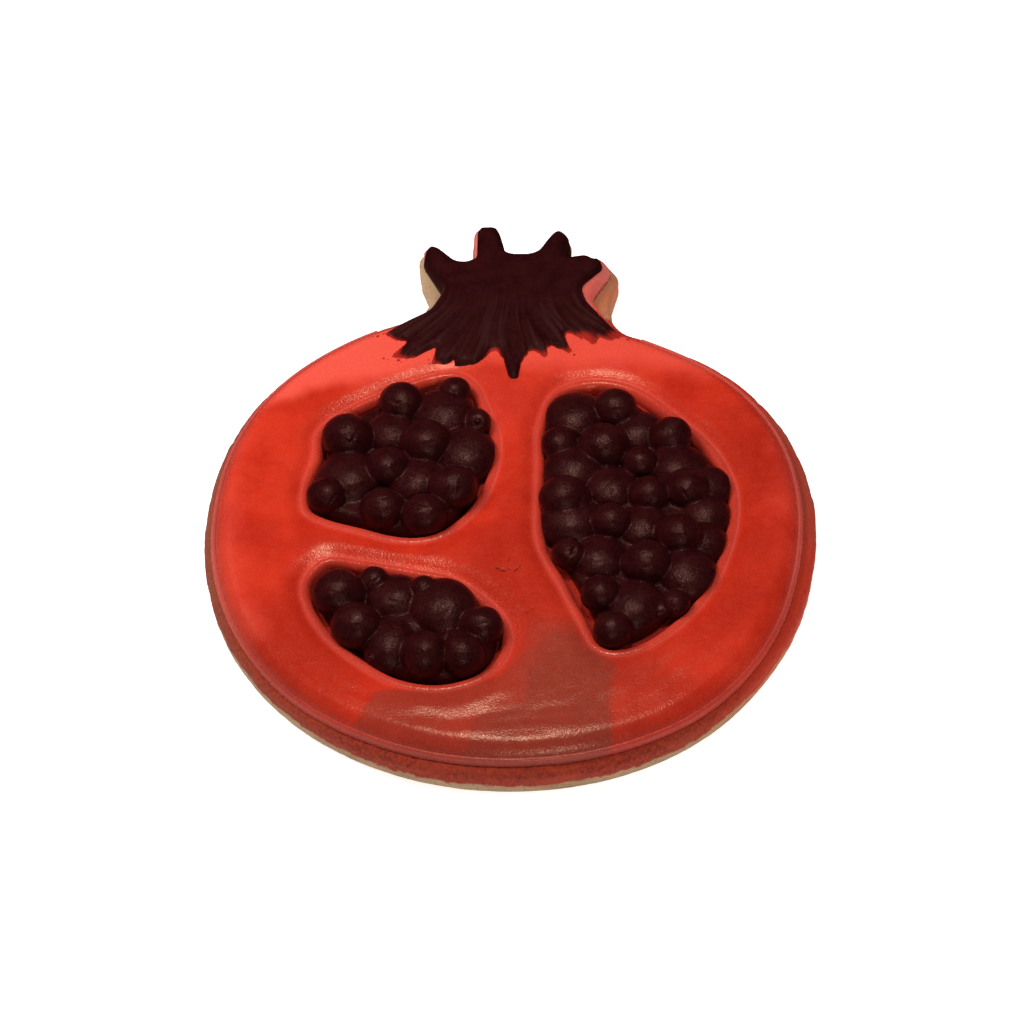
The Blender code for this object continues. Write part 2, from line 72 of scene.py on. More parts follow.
BISCUIT_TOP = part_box("biscuit")[1].z / MM
BISCUIT_EDGE = 1.1
BODY_RADII = (
    (-165, 45.1, 44.1), (-135, 45.2, 44.5), (-115, 45.0, 43.8), (-90, 45.0, 43.5),
    (-72, 45.4, 44.0), (-55, 45.6, 44.6), (-38, 45.1, 44.1), (-15, 45.0, 43.0),
    (0, 45.3, 43.3), (20, 45.7, 44.2), (35, 45.5, 44.1), (48, 44.4, 43.0),
    (58, 43.2, 42.2), (66, 43.2, 42.2), (110, 45.6, 44.6), (125, 45.9, 44.9),
    (142, 46.4, 45.3), (158, 45.7, 44.8), (174, 45.1, 44.0),
)
CROWN_CORNERS = (
    (17.6, 41.0, 2.5, 1.4), (17.0, 44.8, 4.0, 3.0), (19.0, 51.6, 2.0, 1.2),
    (16.6, 55.2, 2.2, 0.9), (10.7, 55.1, 0.9, 0.5), (11.8, 60.5, 1.8, 0.4),
    (8.3, 61.9, 2.0, 0.8), (4.9, 56.0, 2.2, 0.9), (1.0, 55.8, 1.6, 0.45),
    (-0.1, 62.3, 1.0, 0.35), (-4.7, 62.3, 1.2, 0.2), (-5.0, 54.8, 0.9, 0.3),
    (-6.9, 54.4, 1.2, 0.9), (-10.6, 58.7, 2.2, 0.9), (-13.8, 58.4, 1.8, 0.6),
    (-13.2, 52.6, 8.0, 1.45), (-11.5, 47.6, 3.5, 1.9), (-13.2, 43.9, 2.5, 1.6),
)
SHOULDER_RIGHT = 64.0
SHOULDER_LEFT = 112.0
ARC_STEPS = 420

RIM_ROPE_WIDTH = 1.1
RIM_ROPE_HEIGHT = 1.2
WELL_ROPE_WIDTH = 1.3
WELL_ROPE_HEIGHT = 1.9
FLOOD_HEIGHT = 2.5
ROPE_END_RIGHT = 61.0
ROPE_END_LEFT = 115.0

WELL_UPPER = (
    (-29.9, 1.9), (-26.9, -0.4), (-22.0, -2.2), (-17.3, -3.9), (-12.9, -4.3), (-8.6, -2.5),
    (-4.6, 2.2), (-2.3, 8.3), (-1.7, 15.0), (-3.1, 20.8), (-4.9, 26.3), (-8.1, 28.7),
    (-13.7, 27.4), (-19.6, 24.5), (-24.9, 21.1), (-28.4, 17.3), (-28.8, 12.0), (-30.1, 6.4),
)
WELL_LOWER = (
    (-29.5, -12.0), (-28.6, -17.0), (-25.5, -22.3), (-21.2, -26.5), (-16.5, -29.8),
    (-10.8, -31.1), (-5.3, -29.8), (-1.6, -26.3), (-0.8, -21.5), (-3.6, -16.6), (-8.6, -12.3),
    (-14.8, -10.4), (-21.0, -8.9), (-26.6, -8.0),
)
WELL_RIGHT = (
    (4.3, -0.5), (4.7, -6.6), (7.4, -13.6), (9.9, -20.2), (11.8, -24.8), (15.4, -25.8),
    (20.6, -23.5), (26.7, -17.4), (30.5, -10.2), (32.8, -2.4), (33.0, 4.4), (30.6, 11.6),
    (25.6, 18.4), (19.9, 24.3), (13.6, 26.2), (7.6, 23.8), (5.1, 16.8), (4.8, 8.6),
)
WELL_POINTS = 168
WELL_ROPE_HALF = 1.15
WELL_ROPE_OUT = 0.25
FLOOD_HOLE = 0.6

# Seeds: centre x, centre y, radius, lift above a seed on the floor, stretch along y
SEED_SINK = 0.36
HEAP_INSET = {"upper": 1.6, "lower": 1.6, "right": 2.2}
HEAP_HEIGHT = 2.1
SPREAD = 1.36
SEED_GRAIN = 0.215
SEEDS = {
    "upper": (
        (-7.9, 25.0, 2.45, 0.9), (-16.0, 22.5, 3.4, 0.9), (-24.1, 15.9, 3.8, 0.6),
        (-9.7, 20.1, 3.9, 0.0), (-4.4, 18.7, 2.05, 1.0), (-17.5, 16.8, 3.3, 0.1),
        (-12.15, 13.9, 3.7, 0.9), (-6.4, 12.1, 3.7, 0.0), (-18.0, 9.4, 3.4, 0.9),
        (-23.7, 7.9, 3.8, 0.0), (-26.95, 4.6, 2.85, 0.7), (-13.7, 7.2, 3.4, 0.0),
        (-8.2, 5.1, 3.55, 0.8), (-18.6, 1.7, 3.2, 0.6), (-12.5, 0.2, 3.25, 0.6),
    ),
    "lower": (
        (-24.7, -14.2, 3.6, 0.7), (-19.65, -12.0, 2.3, 0.9), (-16.6, -15.1, 3.3, 0.0),
        (-12.5, -13.8, 2.15, 1.0), (-9.9, -17.1, 3.8, 0.0), (-22.0, -20.2, 3.45, 0.8),
        (-4.3, -20.8, 3.1, 0.6), (-14.6, -20.2, 2.6, -0.4), (-12.35, -25.6, 2.95, 0.9, 1.24),
        (-17.3, -23.3, 3.0, 0.1, 1.16), (-7.1, -25.6, 3.2, 0.45, 1.04),
        (-8.7, -22.3, 1.6, 0.5),
    ),
    "right": (
        (10.5, 19.0, 3.7, 0.1), (16.5, 20.2, 3.4, 0.8), (7.9, 13.4, 2.85, 0.8),
        (14.45, 12.4, 3.75, 0.9), (19.8, 15.6, 3.1, 0.0), (24.65, 14.3, 3.15, 0.8),
        (19.75, 9.1, 2.45, 1.3), (25.6, 8.2, 3.5, 0.0), (9.75, 8.4, 3.6, 0.0),
        (8.2, 2.4, 3.6, 0.8), (15.2, 4.4, 3.15, 0.1), (20.7, 2.9, 2.85, 0.9),
        (26.3, 3.6, 3.05, 1.0), (29.7, 4.6, 2.8, 0.3), (9.0, -1.5, 3.5, 0.0),
        (14.85, -2.3, 2.9, 1.1), (19.5, -3.3, 3.1, 0.0), (24.55, -5.3, 3.2, 1.0),
        (28.9, -0.7, 2.9, 0.0), (28.2, -6.0, 2.8, 0.1), (8.4, -8.0, 2.45, 0.9),
        (12.9, -8.9, 3.1, 0.1), (19.55, -10.4, 3.5, 0.9), (25.4, -12.3, 3.3, 0.1),
        (12.65, -15.5, 2.75, 0.9), (17.4, -17.8, 3.3, 0.0), (23.2, -17.4, 2.1, 0.6),
        (21.0, -18.3, 1.4, 0.6), (14.05, -22.1, 2.7, 0.8),
    ),
}

# Marks on the seeds: x, y, z, half length, half width, turn in degrees, height.
# A half length below 0 makes a ring of that radius.
SEED_MARKS = {
    "upper": (
        (-4.3, 16.2, 9.0, -0.62, 0.16, 0.0, -0.16), (-4.3, 16.2, 9.0, 0.3, 0.3, 0.0, 0.20),
        (-8.0, 22.2, 9.0, -0.55, 0.15, 0.0, -0.10), (-8.0, 22.2, 9.0, 0.26, 0.26, 0.0, 0.16),
        (-17.1, 20.6, 9.0, 1.0, 0.13, -28.0, -0.16), (-16.4, 20.1, 9.0, 0.7, 0.13, 12.0, -0.12),
        (-16.7, 21.2, 9.0, 0.5, 0.25, -28.0, 0.08),
        (-23.0, 12.9, 9.3, 0.8, 0.14, 62.0, -0.18), (-23.4, 12.2, 9.2, 0.8, 0.14, -15.0, -0.15),
        (-22.7, 12.2, 9.2, 0.6, 0.16, 30.0, 0.12), (-23.6, 12.9, 9.3, 0.3, 0.3, 0.0, 0.12),
        (-25.9, 2.0, 8.2, 0.9, 0.15, 52.0, -0.20), (-26.4, 1.7, 8.2, 0.7, 0.25, 52.0, 0.10),
        (-7.8, 3.0, 9.0, 0.8, 0.16, 76.0, 0.13), (-8.3, 2.2, 9.0, 0.2, 0.2, 0.0, -0.12),
        (-7.3, 2.4, 9.0, 0.5, 0.12, 40.0, -0.10),
        (-12.7, -0.3, 8.6, 0.8, 0.30, -24.0, -0.26), (-11.4, -1.0, 8.6, 0.5, 0.45, 60.0, 0.12),
        (-13.0, -1.6, 8.4, 0.7, 0.3, 20.0, 0.10),
        (-18.2, 0.9, 8.8, 0.6, 0.12, 8.0, -0.12), (-18.3, -0.9, 8.5, 0.14, 0.14, 0.0, -0.12),
        (-17.7, -1.1, 8.5, 0.16, 0.16, 0.0, -0.10), (-17.6, 7.1, 9.2, 0.35, 0.35, 0.0, 0.12),
        (-22.6, 5.2, 7.6, 1.2, 0.4, 20.0, 0.12), (-24.4, 4.3, 7.0, 1.4, 0.22, 50.0, -0.16),
        (-12.0, 11.9, 9.4, 0.7, 0.25, 10.0, 0.08), (-14.4, 6.0, 7.8, 1.1, 0.3, -30.0, 0.10),
    ),
    "lower": (
        (-17.2, -21.2, 7.4, 0.8, 0.14, -62.0, -0.17), (-16.3, -22.2, 7.4, 0.6, 0.12, -12.0, -0.13),
        (-17.6, -20.4, 7.6, 0.8, 0.3, 20.0, 0.10), (-12.6, -26.9, 8.0, -0.32, 0.12, 0.0, -0.08),
        (-11.8, -27.2, 8.0, 0.22, 0.14, 30.0, -0.07), (-12.9, -27.6, 7.8, 0.3, 0.25, 0.0, 0.06),
        (-7.7, -25.7, 7.6, 1.2, 0.3, 62.0, 0.14), (-8.9, -25.0, 7.4, 1.5, 0.16, 68.0, -0.18),
        (-25.4, -16.2, 8.4, 0.3, 0.3, 0.0, 0.14), (-24.4, -16.9, 8.4, 0.5, 0.14, 40.0, -0.10),
        (-22.3, -21.6, 8.2, 0.5, 0.3, 10.0, 0.10), (-19.4, -13.6, 8.0, 0.9, 0.16, 42.0, -0.16),
        (-10.0, -19.3, 7.8, 1.2, 0.2, 58.0, 0.08), (-9.2, -19.6, 7.8, 1.0, 0.16, 58.0, -0.08),
        (-17.0, -17.0, 7.6, 0.8, 0.2, -10.0, -0.07), (-4.0, -22.2, 8.2, 0.5, 0.2, 10.0, -0.08),
        (-19.5, -26.0, 6.3, 0.34, 0.24, 60.0, 0.75), (-15.2, -28.9, 6.3, 0.34, 0.26, 80.0, 0.75),
    ),
    "right": (
        (21.0, -0.4, 8.8, 0.22, 0.18, 0.0, -0.20), (20.5, -1.0, 8.7, 0.5, 0.22, 30.0, 0.12),
        (15.1, 2.4, 8.0, -0.42, 0.14, 0.0, -0.12), (10.4, 0.0, 8.4, 1.0, 0.45, 75.0, -0.30),
        (8.0, 0.4, 8.9, 0.8, 0.3, 20.0, 0.10), (26.1, 0.8, 9.0, 0.8, 0.2, -55.0, 0.12),
        (25.6, 0.4, 9.0, 0.6, 0.14, -55.0, -0.10), (17.4, 16.4, 9.2, 0.9, 0.35, -50.0, -0.14),
        (23.9, 12.2, 9.2, 0.9, 0.13, 84.0, -0.08), (9.0, -9.2, 7.8, 0.55, 0.3, 70.0, -0.40),
        (8.6, -9.4, 7.8, -0.75, 0.2, 0.0, 0.10), (24.0, -15.4, 7.8, 0.6, 0.4, 20.0, 0.14),
        (24.9, -7.2, 9.0, 0.25, 0.25, 0.0, 0.16), (24.1, -7.8, 9.0, 0.7, 0.13, 10.0, -0.09),
        (18.6, -13.6, 8.8, 0.7, 0.3, 20.0, 0.08), (15.0, -5.4, 8.8, 0.6, 0.3, 0.0, 0.08),
        (22.2, -18.8, 7.6, 0.8, 0.16, 60.0, -0.16), (22.8, -20.0, 7.4, 0.4, 0.2, 80.0, 0.12),
        (14.3, -14.0, 7.2, 0.9, 0.3, -20.0, 0.10), (12.8, -10.9, 7.6, 1.0, 0.13, 4.0, -0.08),
        (7.6, 10.9, 8.6, 0.5, 0.2, 20.0, 0.09), (13.9, 9.4, 9.6, 0.9, 0.3, -20.0, 0.06),
    ),
}

DARK_CROWN = (
    (19.0, 35.7, 0.6), (13.1, 43.2, 5.0), (12.4, 46.6, 2.0), (16.2, 50.8, 0.8),
    (15.6, 53.3, 0.25), (14.9, 52.8, 0.25), (13.5, 54.2, 1.2), (9.6, 53.1, 0.6),
    (11.4, 56.4, 1.4), (11.2, 58.9, 1.4), (8.7, 60.2, 1.5), (6.9, 57.9, 1.0), (5.0, 54.6, 2.4),
    (0.95, 54.8, 1.4), (-0.35, 61.2, 0.6), (-3.9, 61.1, 0.7), (-4.1, 54.2, 0.8),
    (-6.2, 52.8, 1.2), (-9.4, 57.2, 1.5), (-12.1, 57.1, 1.2), (-13.0, 54.9, 1.0),
    (-9.7, 47.6, 2.2), (-11.6, 43.2, 3.0), (-18.9, 37.4, 0.5), (-17.2, 35.9, 0.5),
    (-15.0, 35.6, 0.3), (-18.4, 32.4, 0.4), (-14.7, 31.6, 1.0), (-10.4, 34.6, 0.3),
    (-11.6, 30.5, 0.4), (-8.6, 30.9, 0.5), (-7.6, 31.9, 0.3), (-8.0, 30.3, 0.3),
    (-4.4, 30.3, 1.0), (-1.7, 33.1, 0.4), (-0.3, 31.3, 1.6), (0.5, 26.9, 0.7),
    (1.9, 26.7, 0.8), (2.7, 30.8, 1.8), (4.1, 33.0, 0.5), (6.3, 30.6, 0.5),
    (7.0, 33.9, 0.3), (10.6, 31.5, 0.4), (9.3, 37.0, 0.3), (14.3, 33.3, 0.5),
    (14.6, 35.6, 0.3), (16.6, 34.4, 0.5),
)
# The dark layer reaches a little past its strokes, under the face of the red icing
DARK_SKIRT = (
    (-21.6, 38.0), (-22.4, 34.8), (-20.6, 30.8), (-15.0, 29.6), (-10.6, 28.2),
    (-6.0, 28.0), (-1.6, 27.2), (-0.9, 25.2), (1.1, 24.4), (3.3, 25.2), (4.0, 28.6),
    (10.6, 29.6), (15.4, 31.6), (20.8, 33.2), (21.4, 35.8),
)
# Ends of strokes where the brush ran dry: x, y, reach
DRY_TIPS = (
    (-19.4, 36.8, 1.9), (-17.6, 32.2, 1.9), (-11.6, 31.0, 0.9), (-1.6, 32.8, 0.9),
    (5.8, 31.0, 1.7), (10.6, 32.6, 1.1), (12.8, 35.0, 2.2), (17.8, 35.6, 1.9),
)
# Flecks of the dark icing past the dry ends: x, y, reach
FLECKS = (
    (-19.9, 36.9, 0.24), (-20.6, 37.1, 0.14), (-19.0, 37.4, 0.16), (-20.9, 36.7, 0.10),
    (-18.9, 32.0, 0.17), (-17.5, 32.3, 0.15), (-16.6, 31.5, 0.20), (-16.2, 31.1, 0.14),
    (-18.2, 31.7, 0.10), (-11.7, 30.7, 0.18), (-11.9, 31.5, 0.13), (18.9, 36.1, 0.16),
    (19.3, 34.7, 0.20), (19.8, 35.1, 0.11), (10.8, 31.6, 0.16),
)


# Scratches in the red icing: x, y, half length, half width, turn in degrees, share
SCRATCHES = (
    (-1.9, -10.8, 0.55, 0.20, -42.0, 0.8), (-1.1, -11.3, 0.50, 0.20, -14.0, 0.9),
    (-0.3, -11.1, 0.34, 0.17, 24.0, 0.6), (0.8, -11.2, 0.52, 0.18, 46.0, 0.85),
    (1.35, -10.5, 0.34, 0.15, 62.0, 0.6), (2.2, -19.0, 0.34, 0.18, 30.0, 0.5),
    (3.0, -18.4, 0.28, 0.16, -20.0, 0.45), (-0.2, -9.3, 0.60, 0.16, 70.0, 0.35),
)


# ---------------------------------------------------------------- outlines

def unit(vector):
    return vector / max(np.linalg.norm(vector), 1e-9)


def fillet_loop(corners, step):
    """Closed outline through corners (x, y, radius), each rounded by its radius."""
    points = []
    count = len(corners)
    for index in range(count):
        here = np.array(corners[index][:2])
        before = np.array(corners[index - 1][:2])
        after = np.array(corners[(index + 1) % count][:2])
        back = unit(before - here)
        ahead = unit(after - here)
        half = 0.5 * math.acos(max(-1.0, min(1.0, float(back @ ahead))))
        room = 0.46 * min(np.linalg.norm(before - here), np.linalg.norm(after - here))
        reach = min(corners[index][2] / max(math.tan(half), 1e-6), room)
        radius = reach * math.tan(half)
        if half > 1.5 or radius < 0.05:
            points.append(here)
            continue
        centre = here + unit(back + ahead) * radius / math.sin(half)
        turns = max(3, int(math.ceil((math.pi - 2.0 * half) * radius / step)))
        start = here + back * reach - centre
        end = here + ahead * reach - centre
        sweep = math.atan2(start[0] * end[1] - start[1] * end[0], float(start @ end))
        for turn in range(turns + 1):
            angle = sweep * turn / turns
            spin = np.array(((math.cos(angle), -math.sin(angle)),
                             (math.sin(angle), math.cos(angle))))
            points.append(centre + spin @ start)
    return np.array(points)


def smooth_loop(points, count):
    """Closed Catmull-Rom curve through points, as evenly spaced points."""
    control = np.array(points, dtype=float)
    fine = []
    for index in range(len(control)):
        p0, p1, p2, p3 = (control[(index + k - 1) % len(control)] for k in range(4))
        for part in range(12):
            t = part / 12.0
            fine.append(0.5 * (2 * p1 + (p2 - p0) * t + (2 * p0 - 5 * p1 + 4 * p2 - p3) * t ** 2
                               + (3 * p1 - p0 - 3 * p2 + p3) * t ** 3))
    return respaced(np.array(fine), count)


def run_length(loop):
    closed = np.vstack((loop, loop[:1]))
    return np.concatenate(([0.0], np.cumsum(np.linalg.norm(np.diff(closed, axis=0), axis=1))))


def respaced(loop, count):
    closed = np.vstack((loop, loop[:1]))
    run = run_length(loop)
    want = np.linspace(0.0, run[-1], count, endpoint=False)
    return np.stack([np.interp(want, run, closed[:, axis]) for axis in (0, 1)], axis=1)


def every(loop, step):
    """Closed loop with its points about one step apart."""
    return respaced(loop, int(round(run_length(loop)[-1] / step)))


def relaxed(loop, rounds):
    """Closed loop with its small kinks eased out."""
    for turn in range(rounds):
        loop = 0.5 * loop + 0.25 * (np.roll(loop, 1, axis=0) + np.roll(loop, -1, axis=0))
    return loop


def inset(loop, distance):
    """Counter-clockwise loop moved towards its inside."""
    along = np.roll(loop, -1, axis=0) - np.roll(loop, 1, axis=0)
    along = along / np.maximum(np.linalg.norm(along, axis=1), 1e-9)[:, None]
    return loop + np.stack((-along[:, 1], along[:, 0]), axis=1) * distance


def moved_corners(corners, borders):
    """Corners of an outline, each moved inwards by its own border."""
    moved = []
    for index, (x, y, radius) in enumerate(corners):
        here = np.array((x, y))
        back = unit(np.array(corners[index - 1][:2]) - here)
        ahead = unit(np.array(corners[(index + 1) % len(corners)][:2]) - here)
        normal = unit(np.array((-ahead[1], ahead[0])) + np.array((back[1], -back[0])))
        lean = max(0.45, float(normal @ np.array((-ahead[1], ahead[0]))))
        spot = here + normal * borders[index] / lean
        moved.append((spot[0], spot[1], max(0.3, radius - 0.5 * borders[index])))
    return moved


def body_radius(angle, column):
    """Radius of the round body at angles in degrees, smoothly between the named ones."""
    turn = np.array([row[0] for row in BODY_RADII], dtype=float)
    size = np.array([row[column] for row in BODY_RADII], dtype=float)
    turn = np.concatenate((turn - 360.0, turn, turn + 360.0))
    size = np.tile(size, 3)
    around = np.array(angle)[:, None] + np.linspace(-7.0, 7.0, 15)[None, :]
    around = (around + 180.0) % 360.0 - 180.0
    return np.interp(around, turn, size).mean(axis=1)


def body_arc(column, drawn_in, first, last, count):
    """Points of the round body, counter-clockwise from the left shoulder to the right one."""
    angle = np.linspace(first, last + 360.0, count)
    radius = body_radius(angle, column) - drawn_in
    turn = np.radians(angle)
    return np.stack((radius * np.cos(turn), radius * np.sin(turn)), axis=1)


def biscuit_outline():
    corners = [row[:3] for row in CROWN_CORNERS]
    arc = body_arc(1, 0.0, SHOULDER_LEFT, SHOULDER_RIGHT, ARC_STEPS)
    return fillet_loop(corners + [(x, y, 0.0) for x, y in arc], 0.35)


def iced_outline(drawn_in):
    """Outline of the red icing, on the round body drawn in behind its rope."""
    corners = [row[:3] for row in CROWN_CORNERS]
    borders = [row[3] for row in CROWN_CORNERS]
    arc = body_arc(1, 0.0, SHOULDER_LEFT, SHOULDER_RIGHT, 60)
    whole = corners + [(x, y, 0.0) for x, y in arc]
    crown = moved_corners(whole, borders + [0.0] * len(arc))[:len(corners)]
    body = body_arc(2, drawn_in, SHOULDER_LEFT, SHOULDER_RIGHT, ARC_STEPS)
    return fillet_loop(crown + [(x, y, 0.0) for x, y in body], 0.35)


class Edge:
    """A closed counter-clockwise loop that tells how deep points lie inside it."""

    def __init__(self, loop):
        self.loop = loop
        self.tree = kdtree.KDTree(len(loop))
        for order, (x, y) in enumerate(loop):
            self.tree.insert((x, y, 0.0), order)
        self.tree.balance()

    def nearest(self, points):
        """Distance to the loop, and the unit direction from there straight into it."""
        near = np.array([self.tree.find((x, y, 0.0))[1] for x, y in points[:, :2]])
        best = np.full(len(points), 1e9)
        inward = np.zeros((len(points), 2))
        for shift in (-1, 0):
            start = self.loop[(near + shift) % len(self.loop)]
            span = self.loop[(near + shift + 1) % len(self.loop)] - start
            offset = points[:, :2] - start
            share = (offset * span).sum(1) / np.maximum((span * span).sum(1), 1e-12)
            far = np.linalg.norm(offset - np.clip(share, 0.0, 1.0)[:, None] * span, axis=1)
            closer = far < best
            normal = np.stack((-span[:, 1], span[:, 0]), axis=1)
            normal = normal / np.maximum(np.linalg.norm(span, axis=1), 1e-9)[:, None]
            inward = np.where(closer[:, None], normal, inward)
            best = np.where(closer, far, best)
        return best, inward

    def inside(self, points):
        """Whether points lie inside the loop, by counting crossings."""
        start = self.loop
        end = np.roll(self.loop, -1, axis=0)
        run = np.where(np.abs(end[:, 1] - start[:, 1]) < 1e-12, 1e-12, end[:, 1] - start[:, 1])
        found = []
        for block in range(0, len(points), 4000):
            x = points[block:block + 4000, 0][:, None]
            y = points[block:block + 4000, 1][:, None]
            between = (start[:, 1] > y) != (end[:, 1] > y)
            cross = start[:, 0] + (y - start[:, 1]) * (end[:, 0] - start[:, 0]) / run
            found.append((between & (x < cross)).sum(axis=1) % 2 == 1)
        return np.concatenate(found)

    def depth(self, points):
        """Distance to the loop, positive inside it."""
        points = np.asarray(points, dtype=float)
        far = self.nearest(points)[0]
        return np.where(self.inside(points), far, -far)


# ---------------------------------------------------------------- fields over the icing

def rough(points, size, seed, octaves=2):
    """Smooth random field from about -1 to 1, with features of one size in millimetres."""
    shift = Vector((13.7 * seed, 7.1 * seed, 3.3 * seed))
    out = np.zeros(len(points))
    for order, p in enumerate(points):
        spot = Vector((p[0], p[1], p[2] if len(p) > 2 else 0.0)) / size + shift
        total = 0.0
        share = 1.0
        for octave in range(octaves):
            total += share * noise.noise(spot * (2.0 ** octave))
            share *= 0.5
        out[order] = total
    return out


def ease(value, low, high):
    """0 below low, 1 above high, smooth between."""
    t = np.clip((value - low) / (high - low), 0.0, 1.0)
    return t * t * (3.0 - 2.0 * t)


def swell(distance, reach):
    """Rounded rise from 0 at an edge to 1 at the reach."""
    return 1.0 - (1.0 - np.clip(distance / reach, 0.0, 1.0)) ** 2.2


def lower_of(fields, softness):
    """Smooth minimum of several height fields."""
    stack = np.array(fields)
    floor = stack.min(axis=0)
    return floor - softness * np.log(np.exp((floor - stack) / softness).sum(axis=0))


# ---------------------------------------------------------------- meshes

def add_mesh(name, verts, faces, made_of, smooth=True):
    """Closed mesh object from points in millimetres, with its faces turned outwards."""
    mesh = bpy.data.meshes.new(name)
    mesh.from_pydata([(x * MM, y * MM, z * MM) for x, y, z in verts], [], faces)
    mesh.update()
    shape = bmesh.new()
    shape.from_mesh(mesh)
    bmesh.ops.recalc_face_normals(shape, faces=shape.faces)
    if shape.calc_volume(signed=True) < 0.0:
        bmesh.ops.reverse_faces(shape, faces=shape.faces)
    shape.to_mesh(mesh)
    shape.free()
    made = bpy.data.objects.new(name, mesh)
    bpy.context.scene.collection.objects.link(made)
    if made_of:
        mesh.materials.append(made_of)
    if smooth:
        mesh.shade_smooth()
    return made


def triangle_grid(low, high, spacing):
    grid = []
    for row in range(int((high[1] - low[1]) / (spacing * 0.87)) + 1):
        across = np.arange(low[0] + 0.5 * spacing * (row % 2), high[0], spacing)
        grid += [(x, low[1] + row * spacing * 0.87) for x in across]
    return np.array(grid)


def layer(name, outer, holes, rings, spacing, top, bottom, made_of, along=None):
    """Layer of icing over an area with holes; top and bottom give heights for points.

    Rows of points follow each edge at the ring distances, and an even mesh fills the rest.
    """
    loops = [outer] + holes
    edges = [Edge(loop) for loop in loops]

    def depth(points):
        inner = [edges[0].depth(points)]
        inner += [-edge.depth(points) for edge in edges[1:]]
        return np.min(inner, axis=0)

    spots = list(loops)
    for ring in rings:
        for order, loop in enumerate(loops):
            moved = inset(loop, ring if order == 0 else -ring)
            spots.append(moved[depth(moved) > 0.96 * ring])
    grid = triangle_grid(outer.min(axis=0), outer.max(axis=0), spacing)
    spots.append(grid[depth(grid) > rings[-1] + 0.5 * spacing])
    links = []
    base = 0
    for loop in loops:
        links += [(base + k, base + (k + 1) % len(loop)) for k in range(len(loop))]
        base += len(loop)

    def flat_mesh(points):
        made = delaunay_2d_cdt([tuple(p) for p in points], links, [], 0, 1e-5)
        flat = np.array([tuple(v) for v in made[0]])
        faces = [tuple(f) for f in made[2]]
        inside = depth(np.array([flat[list(f)].mean(axis=0) for f in faces])) > 0.0
        ids = {}
        for order, sources in enumerate(made[3]):
            for source in sources:
                ids[source] = order
        return flat, [f for f, kept in zip(faces, inside) if kept], ids

    upper, upper_faces, upper_ids = flat_mesh(np.vstack(spots))
    lower, lower_faces, lower_ids = flat_mesh(np.vstack(loops))
    verts = [(p[0], p[1], z) for p, z in zip(upper, top(upper))]
    shift = len(verts)
    verts += [(p[0], p[1], z) for p, z in zip(lower, bottom(lower))]
    faces = list(upper_faces)
    faces += [tuple(shift + k for k in reversed(f)) for f in lower_faces]
    for a, b in links:
        faces.append((shift + lower_ids[a], shift + lower_ids[b], upper_ids[b], upper_ids[a]))
    return add_mesh(name, verts, faces, made_of)


def point_attribute(made, name, values):
    spot = made.data.attributes.new(name, "FLOAT", "POINT")
    spot.data.foreach_set("value", np.asarray(values, dtype=np.float32))


def mesh_points(made):
    """Vertices of an object in millimetres."""
    flat = np.zeros(len(made.data.vertices) * 3, np.float32)
    made.data.vertices.foreach_get("co", flat)
    return flat.reshape(-1, 3).astype(float) / MM


def set_mesh_points(made, points):
    made.data.vertices.foreach_set("co", (np.asarray(points) * MM).astype(np.float32).ravel())
    made.data.update()


def mesh_normals(made):
    flat = np.zeros(len(made.data.vertices) * 3, np.float32)
    made.data.vertex_normals.foreach_get("vector", flat)
    return flat.reshape(-1, 3).astype(float)


def settle(made):
    """Turns the object's modifiers into a plain mesh."""
    graph = bpy.context.evaluated_depsgraph_get()
    solid = bpy.data.meshes.new_from_object(made.evaluated_get(graph))
    made.modifiers.clear()
    old = made.data
    made.data = solid
    if old.users == 0 and isinstance(old, bpy.types.Mesh):
        bpy.data.meshes.remove(old)
    return made


# ---------------------------------------------------------------- finishes

